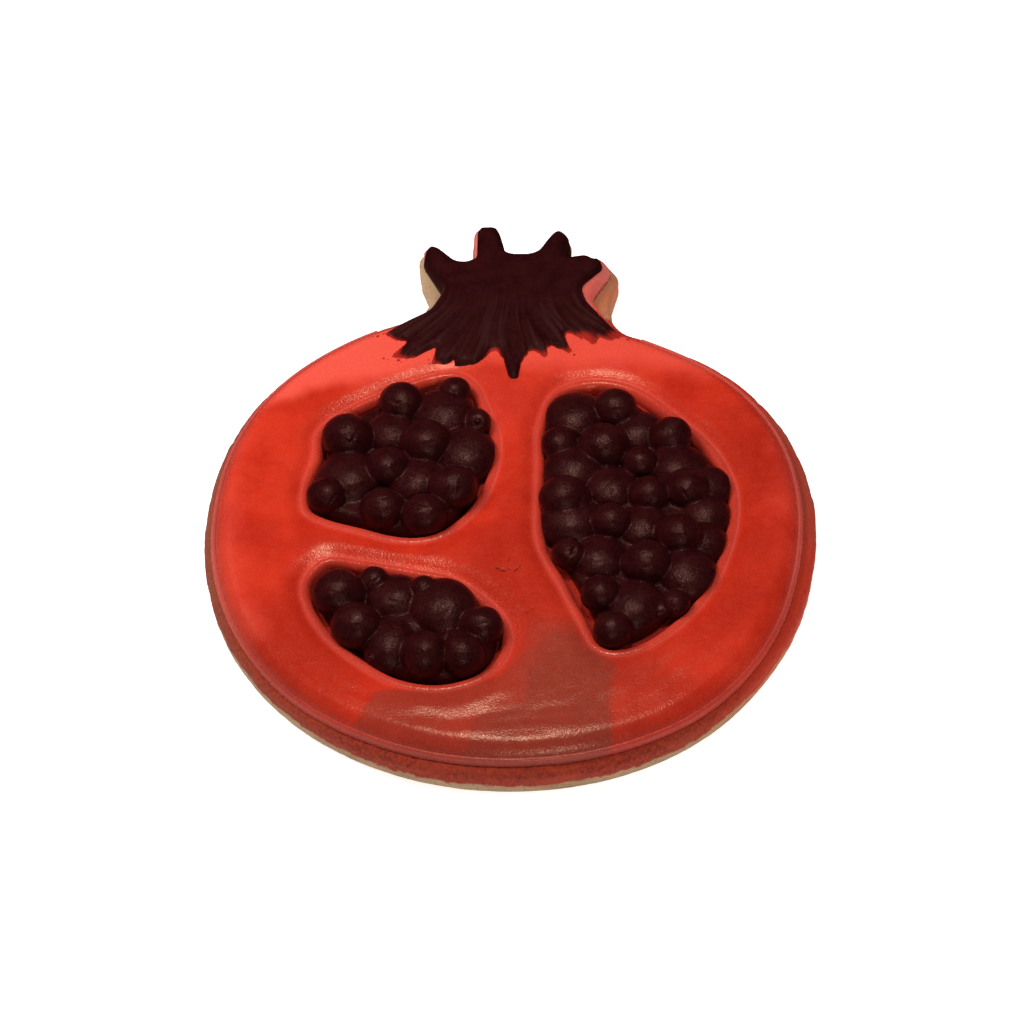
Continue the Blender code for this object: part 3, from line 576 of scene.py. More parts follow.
class Finish:
    """A node material being put together; lengths inside it are in millimetres."""

    def __init__(self, name):
        self.made = bpy.data.materials.new(name)
        self.made.use_nodes = True
        self.tree = self.made.node_tree
        self.shader = self.tree.nodes["Principled BSDF"]
        spot = self.tree.nodes.new("ShaderNodeTexCoord")
        scale = self.tree.nodes.new("ShaderNodeVectorMath")
        scale.operation = "SCALE"
        scale.inputs["Scale"].default_value = 1.0 / MM
        self.tree.links.new(spot.outputs["Object"], scale.inputs[0])
        self.place = scale.outputs[0]

    def feed(self, socket, value):
        if isinstance(value, bpy.types.NodeSocket):
            self.tree.links.new(value, socket)
        elif isinstance(value, (tuple, list)) and len(value) == 3 and socket.type == "RGBA":
            socket.default_value = (*value, 1.0)
        else:
            socket.default_value = value

    def grain(self, size, detail=2.0, roughness=0.5, stretch=None):
        """Noise from 0 to 1 with features of one size."""
        where = self.place
        if stretch:
            bent = self.tree.nodes.new("ShaderNodeVectorMath")
            bent.operation = "MULTIPLY"
            self.feed(bent.inputs[0], where)
            bent.inputs[1].default_value = stretch
            where = bent.outputs[0]
        made = self.tree.nodes.new("ShaderNodeTexNoise")
        made.noise_dimensions = "3D"
        self.feed(made.inputs["Vector"], where)
        made.inputs["Scale"].default_value = 1.0 / size
        made.inputs["Detail"].default_value = detail
        made.inputs["Roughness"].default_value = roughness
        return made.outputs["Fac"]

    def cells(self, size, feature="F1"):
        made = self.tree.nodes.new("ShaderNodeTexVoronoi")
        made.feature = feature
        self.feed(made.inputs["Vector"], self.place)
        made.inputs["Scale"].default_value = 1.0 / size
        return made.outputs["Distance"]

    def maths(self, operation, first, second=0.0, third=0.0):
        made = self.tree.nodes.new("ShaderNodeMath")
        made.operation = operation
        for socket, value in zip(made.inputs, (first, second, third)):
            self.feed(socket, value)
        return made.outputs[0]

    def span(self, value, low, high, to_low=0.0, to_high=1.0):
        """Value eased from one range to another."""
        made = self.tree.nodes.new("ShaderNodeMapRange")
        made.interpolation_type = "SMOOTHSTEP"
        self.feed(made.inputs["Value"], value)
        made.inputs["From Min"].default_value = low
        made.inputs["From Max"].default_value = high
        made.inputs["To Min"].default_value = to_low
        made.inputs["To Max"].default_value = to_high
        return made.outputs["Result"]

    def mix(self, share, first, second):
        made = self.tree.nodes.new("ShaderNodeMix")
        made.data_type = "RGBA"
        self.feed(made.inputs["Factor"], share)
        self.feed(made.inputs["A"] if False else made.inputs[6], first)
        self.feed(made.inputs[7], second)
        return made.outputs[2]

    def field(self, name):
        made = self.tree.nodes.new("ShaderNodeAttribute")
        made.attribute_name = name
        return made.outputs["Fac"]

    def stroke(self, x, y, along, across, turn, share):
        """The share inside a small stroke seen from above, fading to 0 outside it."""
        made = self.tree.nodes.new("ShaderNodeMapping")
        made.vector_type = "TEXTURE"
        self.feed(made.inputs["Vector"], self.place)
        made.inputs["Location"].default_value = (x, y, 0.0)
        made.inputs["Rotation"].default_value = (0.0, 0.0, math.radians(turn))
        made.inputs["Scale"].default_value = (along, across, 1000.0)
        far = self.tree.nodes.new("ShaderNodeVectorMath")
        far.operation = "LENGTH"
        self.feed(far.inputs[0], made.outputs[0])
        return self.span(far.outputs["Value"], 0.5, 1.25, share, 0.0)

    def height(self):
        made = self.tree.nodes.new("ShaderNodeSeparateXYZ")
        self.feed(made.inputs[0], self.place)
        return made.outputs["Z"]

    def bump(self, *layers):
        """Relief from pairs of (height from 0 to 1, depth in millimetres)."""
        total = None
        for value, deep in layers:
            part = self.maths("MULTIPLY", value, deep * MM)
            total = part if total is None else self.maths("ADD", total, part)
        made = self.tree.nodes.new("ShaderNodeBump")
        made.inputs["Strength"].default_value = 1.0
        made.inputs["Distance"].default_value = 1.0
        self.feed(made.inputs["Height"], total)
        self.feed(self.shader.inputs["Normal"], made.outputs["Normal"])

    def set(self, **values):
        for name, value in values.items():
            self.feed(self.shader.inputs[name.replace("_", " ")], value)


def red_finish():
    """Sugar icing with red colouring airbrushed over it: lighter orange-pink where it is thin and, in
    part, as a painted sheen; painted shade, sheen and highlights are mixed into its colour.
    """
    made = Finish("red_icing_satin")
    cloud = made.grain(9.0, 3.0, 0.55)
    mottle = made.grain(1.6, 2.0, 0.6)
    speck = made.grain(0.22, 2.0, 0.6)
    red = made.mix(made.span(cloud, 0.36, 0.66), (0.56, 0.019, 0.006), (0.70, 0.033, 0.011))
    # deeper red, and on the right side painted shade away from the light
    red = made.mix(made.field("deep"), red, (0.43, 0.016, 0.005))
    # orange-pink: partly a thinner spray, partly a painted sheen
    red = made.mix(made.field("coral_and_sheen"), red, (0.96, 0.096, 0.060))
    # painted shadow with a grey reflection veil over the front, painted grey sheen on the rim rope,
    # painted shade on the well lips
    red = made.mix(made.field("shade_and_sheen"), red, (0.235, 0.038, 0.022))
    red = made.mix(made.span(mottle, 0.30, 0.75, 0.0, 0.07), red, (0.80, 0.10, 0.06))
    red = made.mix(made.span(speck, 0.45, 0.75, 0.0, 0.08), red, (0.90, 0.20, 0.14))
    for x, y, along, across, turn, share in SCRATCHES:
        red = made.mix(made.stroke(x, y, along, across, turn, share), red, (0.15, 0.010, 0.006))
    # painted highlights and sheen by the ropes and at the top left; over the crown, the icing's own
    # lighter tone
    red = made.mix(made.field("highlight_and_pale"), red, (0.70, 0.18, 0.15))
    made.set(Base_Color=red)
    rough = made.span(made.grain(0.5, 2.0), 0.3, 0.7, 0.22, 0.29)
    made.set(Roughness=rough)
    made.shader.inputs["Specular IOR Level"].default_value = 0.52
    made.shader.inputs["Specular Tint"].default_value = (1.0, 0.64, 0.44, 1.0)
    made.shader.inputs["Subsurface Weight"].default_value = 0.12
    made.shader.inputs["Subsurface Radius"].default_value = (0.9 * MM, 0.25 * MM, 0.15 * MM)
    made.shader.inputs["Subsurface Scale"].default_value = 1.0
    made.bump((made.grain(0.27, 1.0, 0.5), 0.038), (made.grain(0.9, 1.0, 0.5), 0.016),
              (made.grain(3.5, 2.0, 0.5), 0.06))
    return made.made


def dark_finish(name, low, high, sheen, rough_low, rough_high, index, thin):
    """Very dark maroon icing, with a dry bloom; thin coats of it let the red through, and the crests
    of the brush strokes get a painted sheen.
    """
    made = Finish(name)
    cloud = made.grain(2.4, 3.0, 0.6)
    speck = made.grain(0.16, 2.0, 0.7)
    dark = made.mix(made.span(cloud, 0.3, 0.7), low, high)
    dark = made.mix(made.span(speck, 0.5, 0.8, 0.0, 0.3), dark, sheen)
    if thin:
        # painted sheen: the crests of the brush strokes drawn lighter where they catch the light
        dark = made.mix(made.field("ridge_sheen"), dark, (0.038, 0.0080, 0.0086))
        dark = made.mix(made.field("thin"), dark, (0.42, 0.020, 0.012))
    made.set(Base_Color=dark)
    made.set(Roughness=made.span(made.grain(0.6, 2.0), 0.3, 0.7, rough_low, rough_high))
    made.shader.inputs["IOR"].default_value = index
    made.shader.inputs["Specular Tint"].default_value = (1.0, 0.52, 0.40, 1.0)
    made.bump((speck, 0.02), (made.grain(0.36, 2.0, 0.6), 0.065), (cloud, 0.10))
    return made.made


def biscuit_finish():
    """Baked sugar biscuit: tan side, darker baked underside, brick red where the colour was sprayed.
    """
    made = Finish("biscuit_baked")
    crumb = made.grain(0.5, 4.0, 0.65)
    cloud = made.grain(6.0, 3.0, 0.5)
    pores = made.cells(0.9)
    tan = made.mix(made.span(cloud, 0.3, 0.7), (0.47, 0.295, 0.168), (0.385, 0.228, 0.120))
    tan = made.mix(made.span(crumb, 0.35, 0.75, 0.0, 0.4), tan, (0.56, 0.39, 0.24))
    tan = made.mix(made.span(pores, 0.05, 0.24, 0.45, 0.0), tan, (0.24, 0.12, 0.05))
    base = made.maths("SUBTRACT", 1.0, made.span(made.height(), 0.05, 0.55))
    tan = made.mix(base, tan, (0.36, 0.19, 0.08))
    spray = made.maths("ADD", made.field("sprayed"), made.span(crumb, 0.25, 0.75, -0.26, 0.26))
    brick = made.mix(made.span(crumb, 0.32, 0.68), (0.24, 0.019, 0.008), (0.44, 0.050, 0.021))
    brick = made.mix(made.span(cloud, 0.35, 0.7, 0.0, 0.6), brick, (0.42, 0.052, 0.022))
    tan = made.mix(made.field("blush"), tan, (0.58, 0.165, 0.068))
    brick = made.mix(made.field("blush"), brick, (0.58, 0.036, 0.014))
    brick = made.mix(made.field("dull"), brick, (0.20, 0.088, 0.054))
    coat = made.mix(made.span(spray, 0.26, 0.78), tan, brick)
    made.set(Base_Color=made.mix(made.field("stained"), coat, (0.42, 0.022, 0.010)))
    made.set(Roughness=made.span(crumb, 0.3, 0.7, 0.72, 0.92))
    made.shader.inputs["Specular IOR Level"].default_value = 0.25
    made.bump((crumb, 0.16), (made.span(pores, 0.05, 0.30), 0.10), (made.grain(0.16, 2.0), 0.03))
    return made.made


# ---------------------------------------------------------------- node trees that repeat things

class Tree:
    """A geometry node tree with named inputs."""

    def __init__(self, name, inputs):
        self.tree = bpy.data.node_groups.new(name, "GeometryNodeTree")
        self.tree.interface.new_socket("Geometry", in_out="INPUT", socket_type="NodeSocketGeometry")
        self.ids = {}
        for label, kind, value in inputs:
            socket = self.tree.interface.new_socket(label, in_out="INPUT", socket_type=kind)
            socket.default_value = value
            self.ids[label] = socket.identifier
        self.tree.interface.new_socket("Geometry", in_out="OUTPUT",
                                       socket_type="NodeSocketGeometry")
        self.start = self.tree.nodes.new("NodeGroupInput")
        self.end = self.tree.nodes.new("NodeGroupOutput")

    def add(self, kind, links=None, **settings):
        made = self.tree.nodes.new(kind)
        for key, value in settings.items():
            setattr(made, key, value)
        for key, value in (links or {}).items():
            socket = made.inputs[key]
            if isinstance(value, bpy.types.NodeSocket):
                self.tree.links.new(value, socket)
            else:
                socket.default_value = value
        return made

    def maths(self, operation, first, second=0.0):
        return self.add("ShaderNodeMath", {0: first, 1: second}, operation=operation).outputs[0]

    def finish(self, geometry, made_of):
        whole = self.add("GeometryNodeRealizeInstances", {"Geometry": geometry})
        dressed = self.add("GeometryNodeSetMaterial", {"Geometry": whole.outputs[0]})
        dressed.inputs["Material"].default_value = made_of
        self.tree.links.new(dressed.outputs[0], self.end.inputs[0])

    def apply(self, made, **values):
        modifier = made.modifiers.new(self.tree.name, "NODES")
        modifier.node_group = self.tree
        for label, value in values.items():
            modifier[self.ids[label.replace("_", " ")]] = value
        made.update_tag()
        return settle(made)


def rope_tree(made_of):
    """Piped rope along a path: an upright oval that wavers a little."""
    tree = Tree("piped_rope", (
        ("Half Width", "NodeSocketFloat", 0.5 * MM), ("Half Height", "NodeSocketFloat", 0.8 * MM),
        ("Waver", "NodeSocketFloat", 0.05), ("Waver Length", "NodeSocketFloat", 6.0 * MM),
        ("Seed", "NodeSocketFloat", 1.0),
    ))
    start = tree.start.outputs
    ring = tree.add("GeometryNodeCurvePrimitiveCircle", {"Resolution": 20, "Radius": 1.0})
    squash = tree.add("ShaderNodeCombineXYZ", {"X": start["Half Width"],
                                               "Y": start["Half Height"], "Z": 1.0})
    oval = tree.add("GeometryNodeTransform", {"Geometry": ring.outputs[0],
                                              "Scale": squash.outputs[0]})
    line = tree.add("GeometryNodeMeshToCurve", {"Mesh": start["Geometry"]})
    up = tree.add("GeometryNodeSetCurveNormal", {"Curve": line.outputs[0]})
    if hasattr(up, "mode"):
        up.mode = "Z_UP"
    place = tree.add("GeometryNodeInputPosition")
    wave = tree.add("ShaderNodeTexNoise", {
        "Vector": place.outputs[0], "W": start["Seed"],
        "Scale": tree.maths("DIVIDE", 1.0, start["Waver Length"]), "Detail": 2.0,
    }, noise_dimensions="4D")
    shift = tree.maths("SUBTRACT", wave.outputs[0], 0.5)
    swing = tree.maths("MULTIPLY", shift, start["Waver"])
    size = tree.maths("ADD", tree.maths("MULTIPLY", swing, 2.0), 1.0)
    thick = tree.add("GeometryNodeSetCurveRadius", {"Curve": up.outputs[0], "Radius": size})
    body = tree.add("GeometryNodeCurveToMesh", {"Curve": thick.outputs[0],
                                                "Profile Curve": oval.outputs[0],
                                                "Fill Caps": True})
    soft = tree.add("GeometryNodeSetShadeSmooth", {"Geometry": body.outputs[0]})
    tree.finish(soft.outputs[0], made_of)
    return tree


def seed_tree(made_of):
    """Drops of icing set on points: each point says how large, how tall and how turned."""
    tree = Tree("piped_seeds", (
        ("Unevenness", "NodeSocketFloat", 0.10), ("Lump Size", "NodeSocketFloat", 0.8),
        ("Seed", "NodeSocketInt", 3),
    ))
    start = tree.start.outputs
    ball = tree.add("GeometryNodeMeshIcoSphere", {"Radius": 1.0, "Subdivisions": 4})
    scale = tree.add("GeometryNodeInputNamedAttribute", data_type="FLOAT_VECTOR")
    scale.inputs["Name"].default_value = "reach"
    turn = tree.add("GeometryNodeInputNamedAttribute", data_type="FLOAT_VECTOR")
    turn.inputs["Name"].default_value = "turn"
    points = tree.add("GeometryNodeMeshToPoints", {"Mesh": start["Geometry"]})
    drops = tree.add("GeometryNodeInstanceOnPoints", {
        "Points": points.outputs[0], "Instance": ball.outputs[0],
        "Rotation": turn.outputs["Attribute"], "Scale": scale.outputs["Attribute"],
    })
    whole = tree.add("GeometryNodeRealizeInstances", {"Geometry": drops.outputs[0]})
    place = tree.add("GeometryNodeInputPosition")
    normal = tree.add("GeometryNodeInputNormal")
    seed = tree.maths("MULTIPLY", start["Seed"], 7.31)
    lumps = tree.add("ShaderNodeTexNoise", {
        "Vector": place.outputs[0], "W": seed, "Detail": 1.0,
        "Scale": tree.maths("DIVIDE", 1.0 / MM, start["Lump Size"]),
    }, noise_dimensions="4D")
    push = tree.maths("MULTIPLY", tree.maths("SUBTRACT", lumps.outputs[0], 0.5),
                      tree.maths("MULTIPLY", start["Unevenness"], MM))
    offset = tree.add("ShaderNodeVectorMath", {0: normal.outputs[0], "Scale": push},
                      operation="SCALE")
    moved = tree.add("GeometryNodeSetPosition", {"Geometry": whole.outputs[0],
                                                 "Offset": offset.outputs[0]})
    tree.finish(moved.outputs[0], made_of)
    return tree


# ---------------------------------------------------------------- outlines shared by the pieces

red = red_finish()
seed_icing = dark_finish("seed_icing_matt", (0.022, 0.0016, 0.0022), (0.034, 0.0036, 0.0043),
                         (0.095, 0.030, 0.028), 0.28, 0.42, 1.37, False)
crown_icing = dark_finish("crown_icing_brushed", (0.020, 0.0014, 0.0020), (0.030, 0.0030, 0.0037),
                          (0.068, 0.018, 0.018), 0.42, 0.56, 1.28, True)
baked = biscuit_finish()

wells = {
    "upper": smooth_loop(WELL_UPPER, WELL_POINTS),
    "lower": smooth_loop(WELL_LOWER, WELL_POINTS),
    "right": smooth_loop(WELL_RIGHT, WELL_POINTS),
}
flood_edge = relaxed(every(iced_outline(RIM_ROPE_WIDTH - 0.25), 0.5), 2)
holes = [inset(line, -FLOOD_HOLE) for line in wells.values()]
flood_rim = Edge(flood_edge)
hole_rims = [Edge(loop) for loop in holes]


# Tone zones over the red icing; the two lighter orange-pink zones are partly a lighter spray and
# partly a painted sheen
CORAL_SHEEN_TOP = (
    (31.0, 27.0), (25.0, 27.8), (20.0, 29.0), (13.0, 27.6), (6.0, 27.8), (0.0, 31.0),
    (-6.0, 30.0), (-12.0, 30.4), (-18.0, 28.4), (-23.0, 26.8), (-27.0, 27.2),
    (-31.0, 26.4), (-34.0, 23.6), (-38.0, 22.4), (-47.0, 19.0), (-46.0, 32.0),
    (-36.0, 46.0), (-12.0, 68.0), (24.0, 68.0), (38.0, 36.0),
)
CORAL_SHEEN_LEFT = (
    (-39.4, 20.0), (-40.6, 8.0), (-40.4, -4.0), (-38.2, -14.0), (-35.4, -21.0),
    (-41.0, -28.0), (-50.0, -10.0), (-50.0, 14.0), (-46.0, 24.0),
)
# Painted shadow over the front of the icing, with a grey reflection veil in it
SHADOW_FRONT = (
    (-16.8, -31.3), (-19.6, -33.4), (-22.2, -36.8), (-23.2, -46.0), (12.0, -46.0),
    (13.4, -38.0), (14.2, -30.0), (13.0, -24.4), (9.0, -19.8), (4.0, -21.4), (0.2, -26.0),
    (-3.6, -30.4), (-10.0, -31.8),
)
SHADOW_DARKEST = (
    (-6.2, -46.0), (-5.9, -39.4), (-4.3, -36.8), (-1.4, -35.6), (1.4, -32.0),
    (3.4, -28.0), (5.5, -22.5), (9.5, -20.5), (12.8, -25.0), (12.6, -46.0),
)


# Deeper red patches: x, y, reach, share. The two on the right paint shade on the side away from the
# light; the others are where the red was sprayed deepest
DEEP_AND_SHADE_PATCHES = (
    (-31.0, -25.0, 13.0, 0.65), (1.0, -12.0, 13.0, 0.65), (37.0, 10.0, 14.0, 0.6),
    (36.0, -12.0, 13.0, 0.35), (0.0, 8.0, 10.0, 0.30),
    (-24.0, -4.5, 8.0, 0.2),
)


def tones(points):
    """How strong each field of the red colouring is at points: the orange-pink tone (partly painted
    sheen), painted shade and sheen, deep red (partly painted shade), and painted highlights with the
    crown's own lighter tone.
    """
    wander = 1.6 * rough(points, 7.0, 3) + 0.4 * rough(points, 1.7, 17)
    zones = [Edge(every(np.array(zone), 1.0))
             for zone in (CORAL_SHEEN_TOP, CORAL_SHEEN_LEFT, SHADOW_FRONT, SHADOW_DARKEST)]
    top, left, front, darkest = (zone.depth(points) + wander for zone in zones)
    # orange-pink zones: partly a lighter spray, partly a painted sheen over the top and left
    top_left = ease(-points[:, 0], 2.0, 20.0)
    coral_and_sheen = ((0.78 + 0.22 * top_left) * ease(top, -2.4, 3.0 - 1.6 * top_left)
             + 0.42 * ease(left, -3.0, 3.0))
    # painted shadow with a grey reflection veil across the front, reaching up between the wells
    fade = 0.7 + 2.4 * ease(points[:, 1], -31.0, -23.0)
    shade_and_sheen = 0.62 * ease(front, -fade, fade) + 0.19 * ease(darkest, -fade, fade)
    soft_right = ease(points[:, 0], 4.0, 10.0) * (1.0 - ease(points[:, 0], 14.0, 29.0))
    shade_and_sheen = np.maximum(shade_and_sheen, 0.31 * soft_right * ease(-points[:, 1], 12.0, 22.0))
    # deeper red; the patches on the right paint shade away from the light
    deep = np.zeros(len(points))
    for x, y, reach, share in DEEP_AND_SHADE_PATCHES:
        gap = np.hypot(points[:, 0] - x, points[:, 1] - y) / reach + 0.3 * rough(points, 6.0, 9)
        deep = np.maximum(deep, share * (1.0 - ease(gap, 0.3, 1.2)))
    near_well = np.max([Edge(every(line, 0.8)).depth(points) for line in wells.values()], axis=0)
    # painted sheen over the top middle, in a lighter band round each well and along the right rim;
    # painted shade on the well lips
    top_middle = np.hypot(points[:, 0] + 2.0, points[:, 1] - 24.0) / 10.0
    coral_and_sheen = np.maximum(coral_and_sheen, 0.14 * (1.0 - ease(top_middle, 0.3, 1.2)))
    on_lip = ease(near_well, -0.75, -0.45)
    coral_and_sheen = np.maximum(coral_and_sheen, 0.30 * ease(near_well, -1.6, -0.6) - 0.18 * on_lip)
    coral_and_sheen = np.maximum(coral_and_sheen, 0.30 * ease(points[:, 0] + 2.0 * wander, 37.0, 43.0))
    shade_and_sheen = np.maximum(shade_and_sheen * (1.0 - 0.5 * ease(near_well, -1.6, -0.3)), 0.14 * on_lip)
    # the piped line round the rim is duller than the icing inside it, partly its own muted colour and
    # partly a painted grey sheen that also reaches just inside it on the left, with a painted glint
    # line each side
    rim_gap = flood_rim.depth(points)
    body = 1.0 - ease(points[:, 1], 39.5, 42.5)
    left_side = ease(-points[:, 0], -6.0, 34.0) * (1.0 - ease(points[:, 1], 14.0, 26.0))
    on_rope = body * (1.0 - ease(rim_gap, -0.12, 0.04))
    inside = body * (1.0 - ease(rim_gap, 0.0, 2.4)) - on_rope
    shade_and_sheen = np.maximum(shade_and_sheen, on_rope * (0.28 + 0.18 * left_side)
                       + inside * 0.33 * left_side)
    coral_and_sheen = coral_and_sheen * (1.0 - on_rope - 0.5 * inside)
    # painted highlights: glint lines each side of the rim rope and along each well rope, fainter on
    # the right side, away from the light
    lit = 1.0 - 0.6 * ease(points[:, 0], 18.0, 38.0)
    lines = (lit * np.exp(-((rim_gap + 0.72) / 0.13) ** 2) + np.exp(-((rim_gap - 0.06) / 0.16) ** 2)
             + 0.6 * np.exp(-((near_well + 0.72) / 0.14) ** 2))
    # painted sheen on the rim rope, weaker at the front, a painted highlight on the well lips and a
    # painted sheen at the top left
    front_side = ease(-points[:, 1], 8.0, 28.0)
    highlight_and_pale = (0.30 - 0.23 * front_side) * on_rope + 0.05 * on_lip + 0.30 * body * lines
    highlight_and_pale = highlight_and_pale + 0.07 * ease(top, 0.0, 3.0) * ease(-points[:, 0], 8.0, 24.0)
    # the icing's own lighter tone over the crown
    crown = ease(points[:, 1], 41.0, 44.0)
    highlight_and_pale = highlight_and_pale + 0.55 * crown + 0.35 * ease(points[:, 1], 46.0, 52.0)
    return {"coral_and_sheen": np.clip(coral_and_sheen, 0.0, 1.0), "shade_and_sheen": np.clip(shade_and_sheen, 0.0, 1.0),
            "deep": np.clip(deep * (1.0 - coral_and_sheen), 0.0, 1.0), "highlight_and_pale": np.clip(highlight_and_pale, 0.0, 1.0)}


# Small marks in the red icing: x, y, size, depth
SCUFFS = (
    (-1.9, -10.9, 0.35, 0.12), (-1.2, -11.3, 0.22, 0.10), (-0.4, -11.2, 0.18, 0.07),
    (0.6, -10.9, 0.24, 0.08), (1.1, -10.5, 0.16, 0.06), (2.2, -19.0, 0.22, 0.06),
    (3.0, -18.4, 0.16, 0.05), (41.0, -1.4, 0.30, 0.05), (12.4, -29.2, 0.3, 0.05),
)


# Low folds where the icing settled: x, y, half length, half width, turn in degrees, height
FOLDS = (
    (-12.4, -34.9, 4.4, 1.2, 6.0, 0.21), (-3.4, -33.2, 3.4, 1.2, 12.0, 0.21),
    (-13.4, -37.8, 3.4, 0.9, -12.0, 0.10), (-6.4, -39.0, 3.4, 1.0, -6.0, 0.12),
    (-6.0, -36.9, 4.6, 1.0, 6.0, -0.12), (7.6, -38.2, 4.0, 1.1, 8.0, 0.11),
    (4.6, -36.0, 3.2, 0.9, 4.0, -0.08), (13.0, -33.0, 3.4, 1.0, 24.0, 0.07),
    (24.6, -28.0, 6.0, 1.0, 42.0, 0.11), (21.0, -29.0, 6.0, 0.9, 40.0, -0.09),
    (-20.0, -33.8, 3.0, 0.9, -24.0, 0.06), (27.0, -21.5, 2.4, 0.3, -24.0, 0.05),
)


def fold_field(points):
    total = np.zeros(len(points))
    bent = points[:, 1] + 0.7 * rough(points, 5.0, 14)
    for x, y, long, wide, turn, high in FOLDS:
        lean = math.radians(turn)
        along = (points[:, 0] - x) * math.cos(lean) + (bent - y) * math.sin(lean)
        across = (bent - y) * math.cos(lean) - (points[:, 0] - x) * math.sin(lean)
        total = total + high * np.exp(-(along / long) ** 2 - (across / wide) ** 2)
    return total


def scuff_field(points):
    total = np.zeros(len(points))
    for x, y, size, deep in SCUFFS:
        gap = np.hypot(points[:, 0] - x, points[:, 1] - y)
        total = np.maximum(total, deep * np.exp(-(gap / size) ** 2))
    return total


def flood_top(points):
    """Face of the red icing: it rises from each rope and settles almost level."""
    reach = 3.1 + 0.35 * rough(points, 9.0, 1)
    rim_depth = flood_rim.depth(points)
    edge = 1.06
    body = np.hypot(points[:, 0], points[:, 1])
    crown = ease(points[:, 1], 40.0, 44.0)
    lip = 0.06 * (1.0 - np.exp(-np.clip(rim_depth, 0.0, 9.0) / 0.16))
    heights = [edge - 0.06 + lip + 0.9 * crown * (1.0 - np.exp(-rim_depth / 0.5))
               + (FLOOD_HEIGHT + 0.12 - edge - 0.9 * crown) * swell(rim_depth, reach)]
    for rim in hole_rims:
        away = -rim.depth(points)
        lip = 0.07 * (1.0 - np.exp(-np.clip(away, 0.0, 9.0) / 0.14))
        soft = np.sqrt(np.clip(away - 0.2, 0.0, 99.0) ** 2 + 0.30) - 0.548
        pillow = 0.11 * np.exp(-((away - 2.8) / 1.5) ** 2)
        heights.append(1.78 + lip + (FLOOD_HEIGHT + 0.12 - 1.85) * swell(soft, 1.25 * reach)
                       + pillow)
    face = lower_of(heights, 0.10)
    level = 0.09 * rough(points, 15.0, 5) + 0.035 * rough(points, 4.5, 6)
    inner = ease(np.minimum(rim_depth, 4.0), 0.3, 3.0)
    # settling lines across the front
    turn = np.degrees(np.arctan2(points[:, 1], points[:, 0]))
    lines = (ease(turn, -142.0, -120.0) * (1.0 - ease(turn, -78.0, -48.0))
             * ease(body, 31.0, 33.5) * (1.0 - ease(body, 39.5, 41.5)))
    wave = np.sin(2.0 * math.pi * (body + 2.2 * rough(points, 9.0, 8)) / 2.6)
    level = level * inner + fold_field(points)
    level = level + 0.02 * lines * wave * np.clip(0.4 + 1.4 * rough(points, 5.0, 12), 0.0, 1.4)
    return BISCUIT_TOP + face + level - scuff_field(points)


def crown_coordinate(points):
    """Where points lie across the brushed fan: -1 at its left edge, 1 at its right edge."""
    rows = (24.0, 28.0, 30.0, 32.0, 34.0, 36.0, 38.0, 40.0, 42.0, 44.0, 47.0, 50.0, 56.0, 64.0)
    half = (42.0, 33.0, 29.0, 25.6, 22.6, 19.8, 17.0, 14.4, 12.4, 11.4, 10.9, 11.2, 13.0, 15.0)
    middle = 0.6 + 0.6 * ease(points[:, 1], 38.0, 47.0)
    return (points[:, 0] - middle) / np.interp(points[:, 1], rows, half)


dark_edge = relaxed(every(fillet_loop(DARK_CROWN, 0.3), 0.3), 1)
dark_rim = Edge(dark_edge)


def dark_thickness(points):
    """Depth of the brushed coat; below 0 it lies under the red icing and doesn't show."""
    across = crown_coordinate(points)
    drawn = np.clip((44.0 - points[:, 1]) / 13.0, 0.0, 1.0)
    fan = np.stack((across * 12.0, points[:, 1] * 0.09, np.zeros(len(points))), axis=1)
    fine = np.stack((across * 44.0, points[:, 1] * 0.15, np.zeros(len(points))), axis=1)
    broad_hair = rough(fan, 1.0, 21)
    fine_hair = rough(fine, 1.0, 22)
    depth = dark_rim.depth(points)
    dry = np.zeros(len(points))
    for x, y, reach in DRY_TIPS:
        gap = np.hypot(points[:, 0] - x, points[:, 1] - y) / (1.45 * reach)
        dry = np.maximum(dry, np.exp(-gap ** 2))
    fringe = drawn * (0.16 * broad_hair + (0.10 + 0.55 * dry) * fine_hair)
    depth = depth + fringe
    full = 1.0 - 0.42 * drawn
    coat = full * swell(np.clip(depth, 0.0, 9.0), 1.0)
    worn = ease(47.5 + 3.0 * broad_hair - points[:, 1], 0.0, 9.0)
    coat += worn * (0.34 * broad_hair + 0.07 * fine_hair) * ease(depth, 0.1, 1.2)
    coat += (1.0 - worn) * 0.05 * broad_hair * ease(depth, 0.5, 2.0)
    bristle = 0.5 + 0.9 * fine_hair + 0.5 * broad_hair
    coat = coat * (1.0 - 0.97 * dry) + dry * ease(depth, -0.2, 0.5) * (0.09 * bristle - 0.005)
    coat = np.where(depth < 0.0, np.minimum(coat, 0.0) + 0.55 * depth, coat)
    # painted sheen: the crests of the brush strokes, drawn lighter where they catch the light
    ridge_sheen = worn * np.clip(0.1 + 1.3 * broad_hair + 0.7 * fine_hair, 0.0, 1.0)
    return np.clip(coat, -0.45, 2.0), dry, ridge_sheen


# ---------------------------------------------------------------- pieces

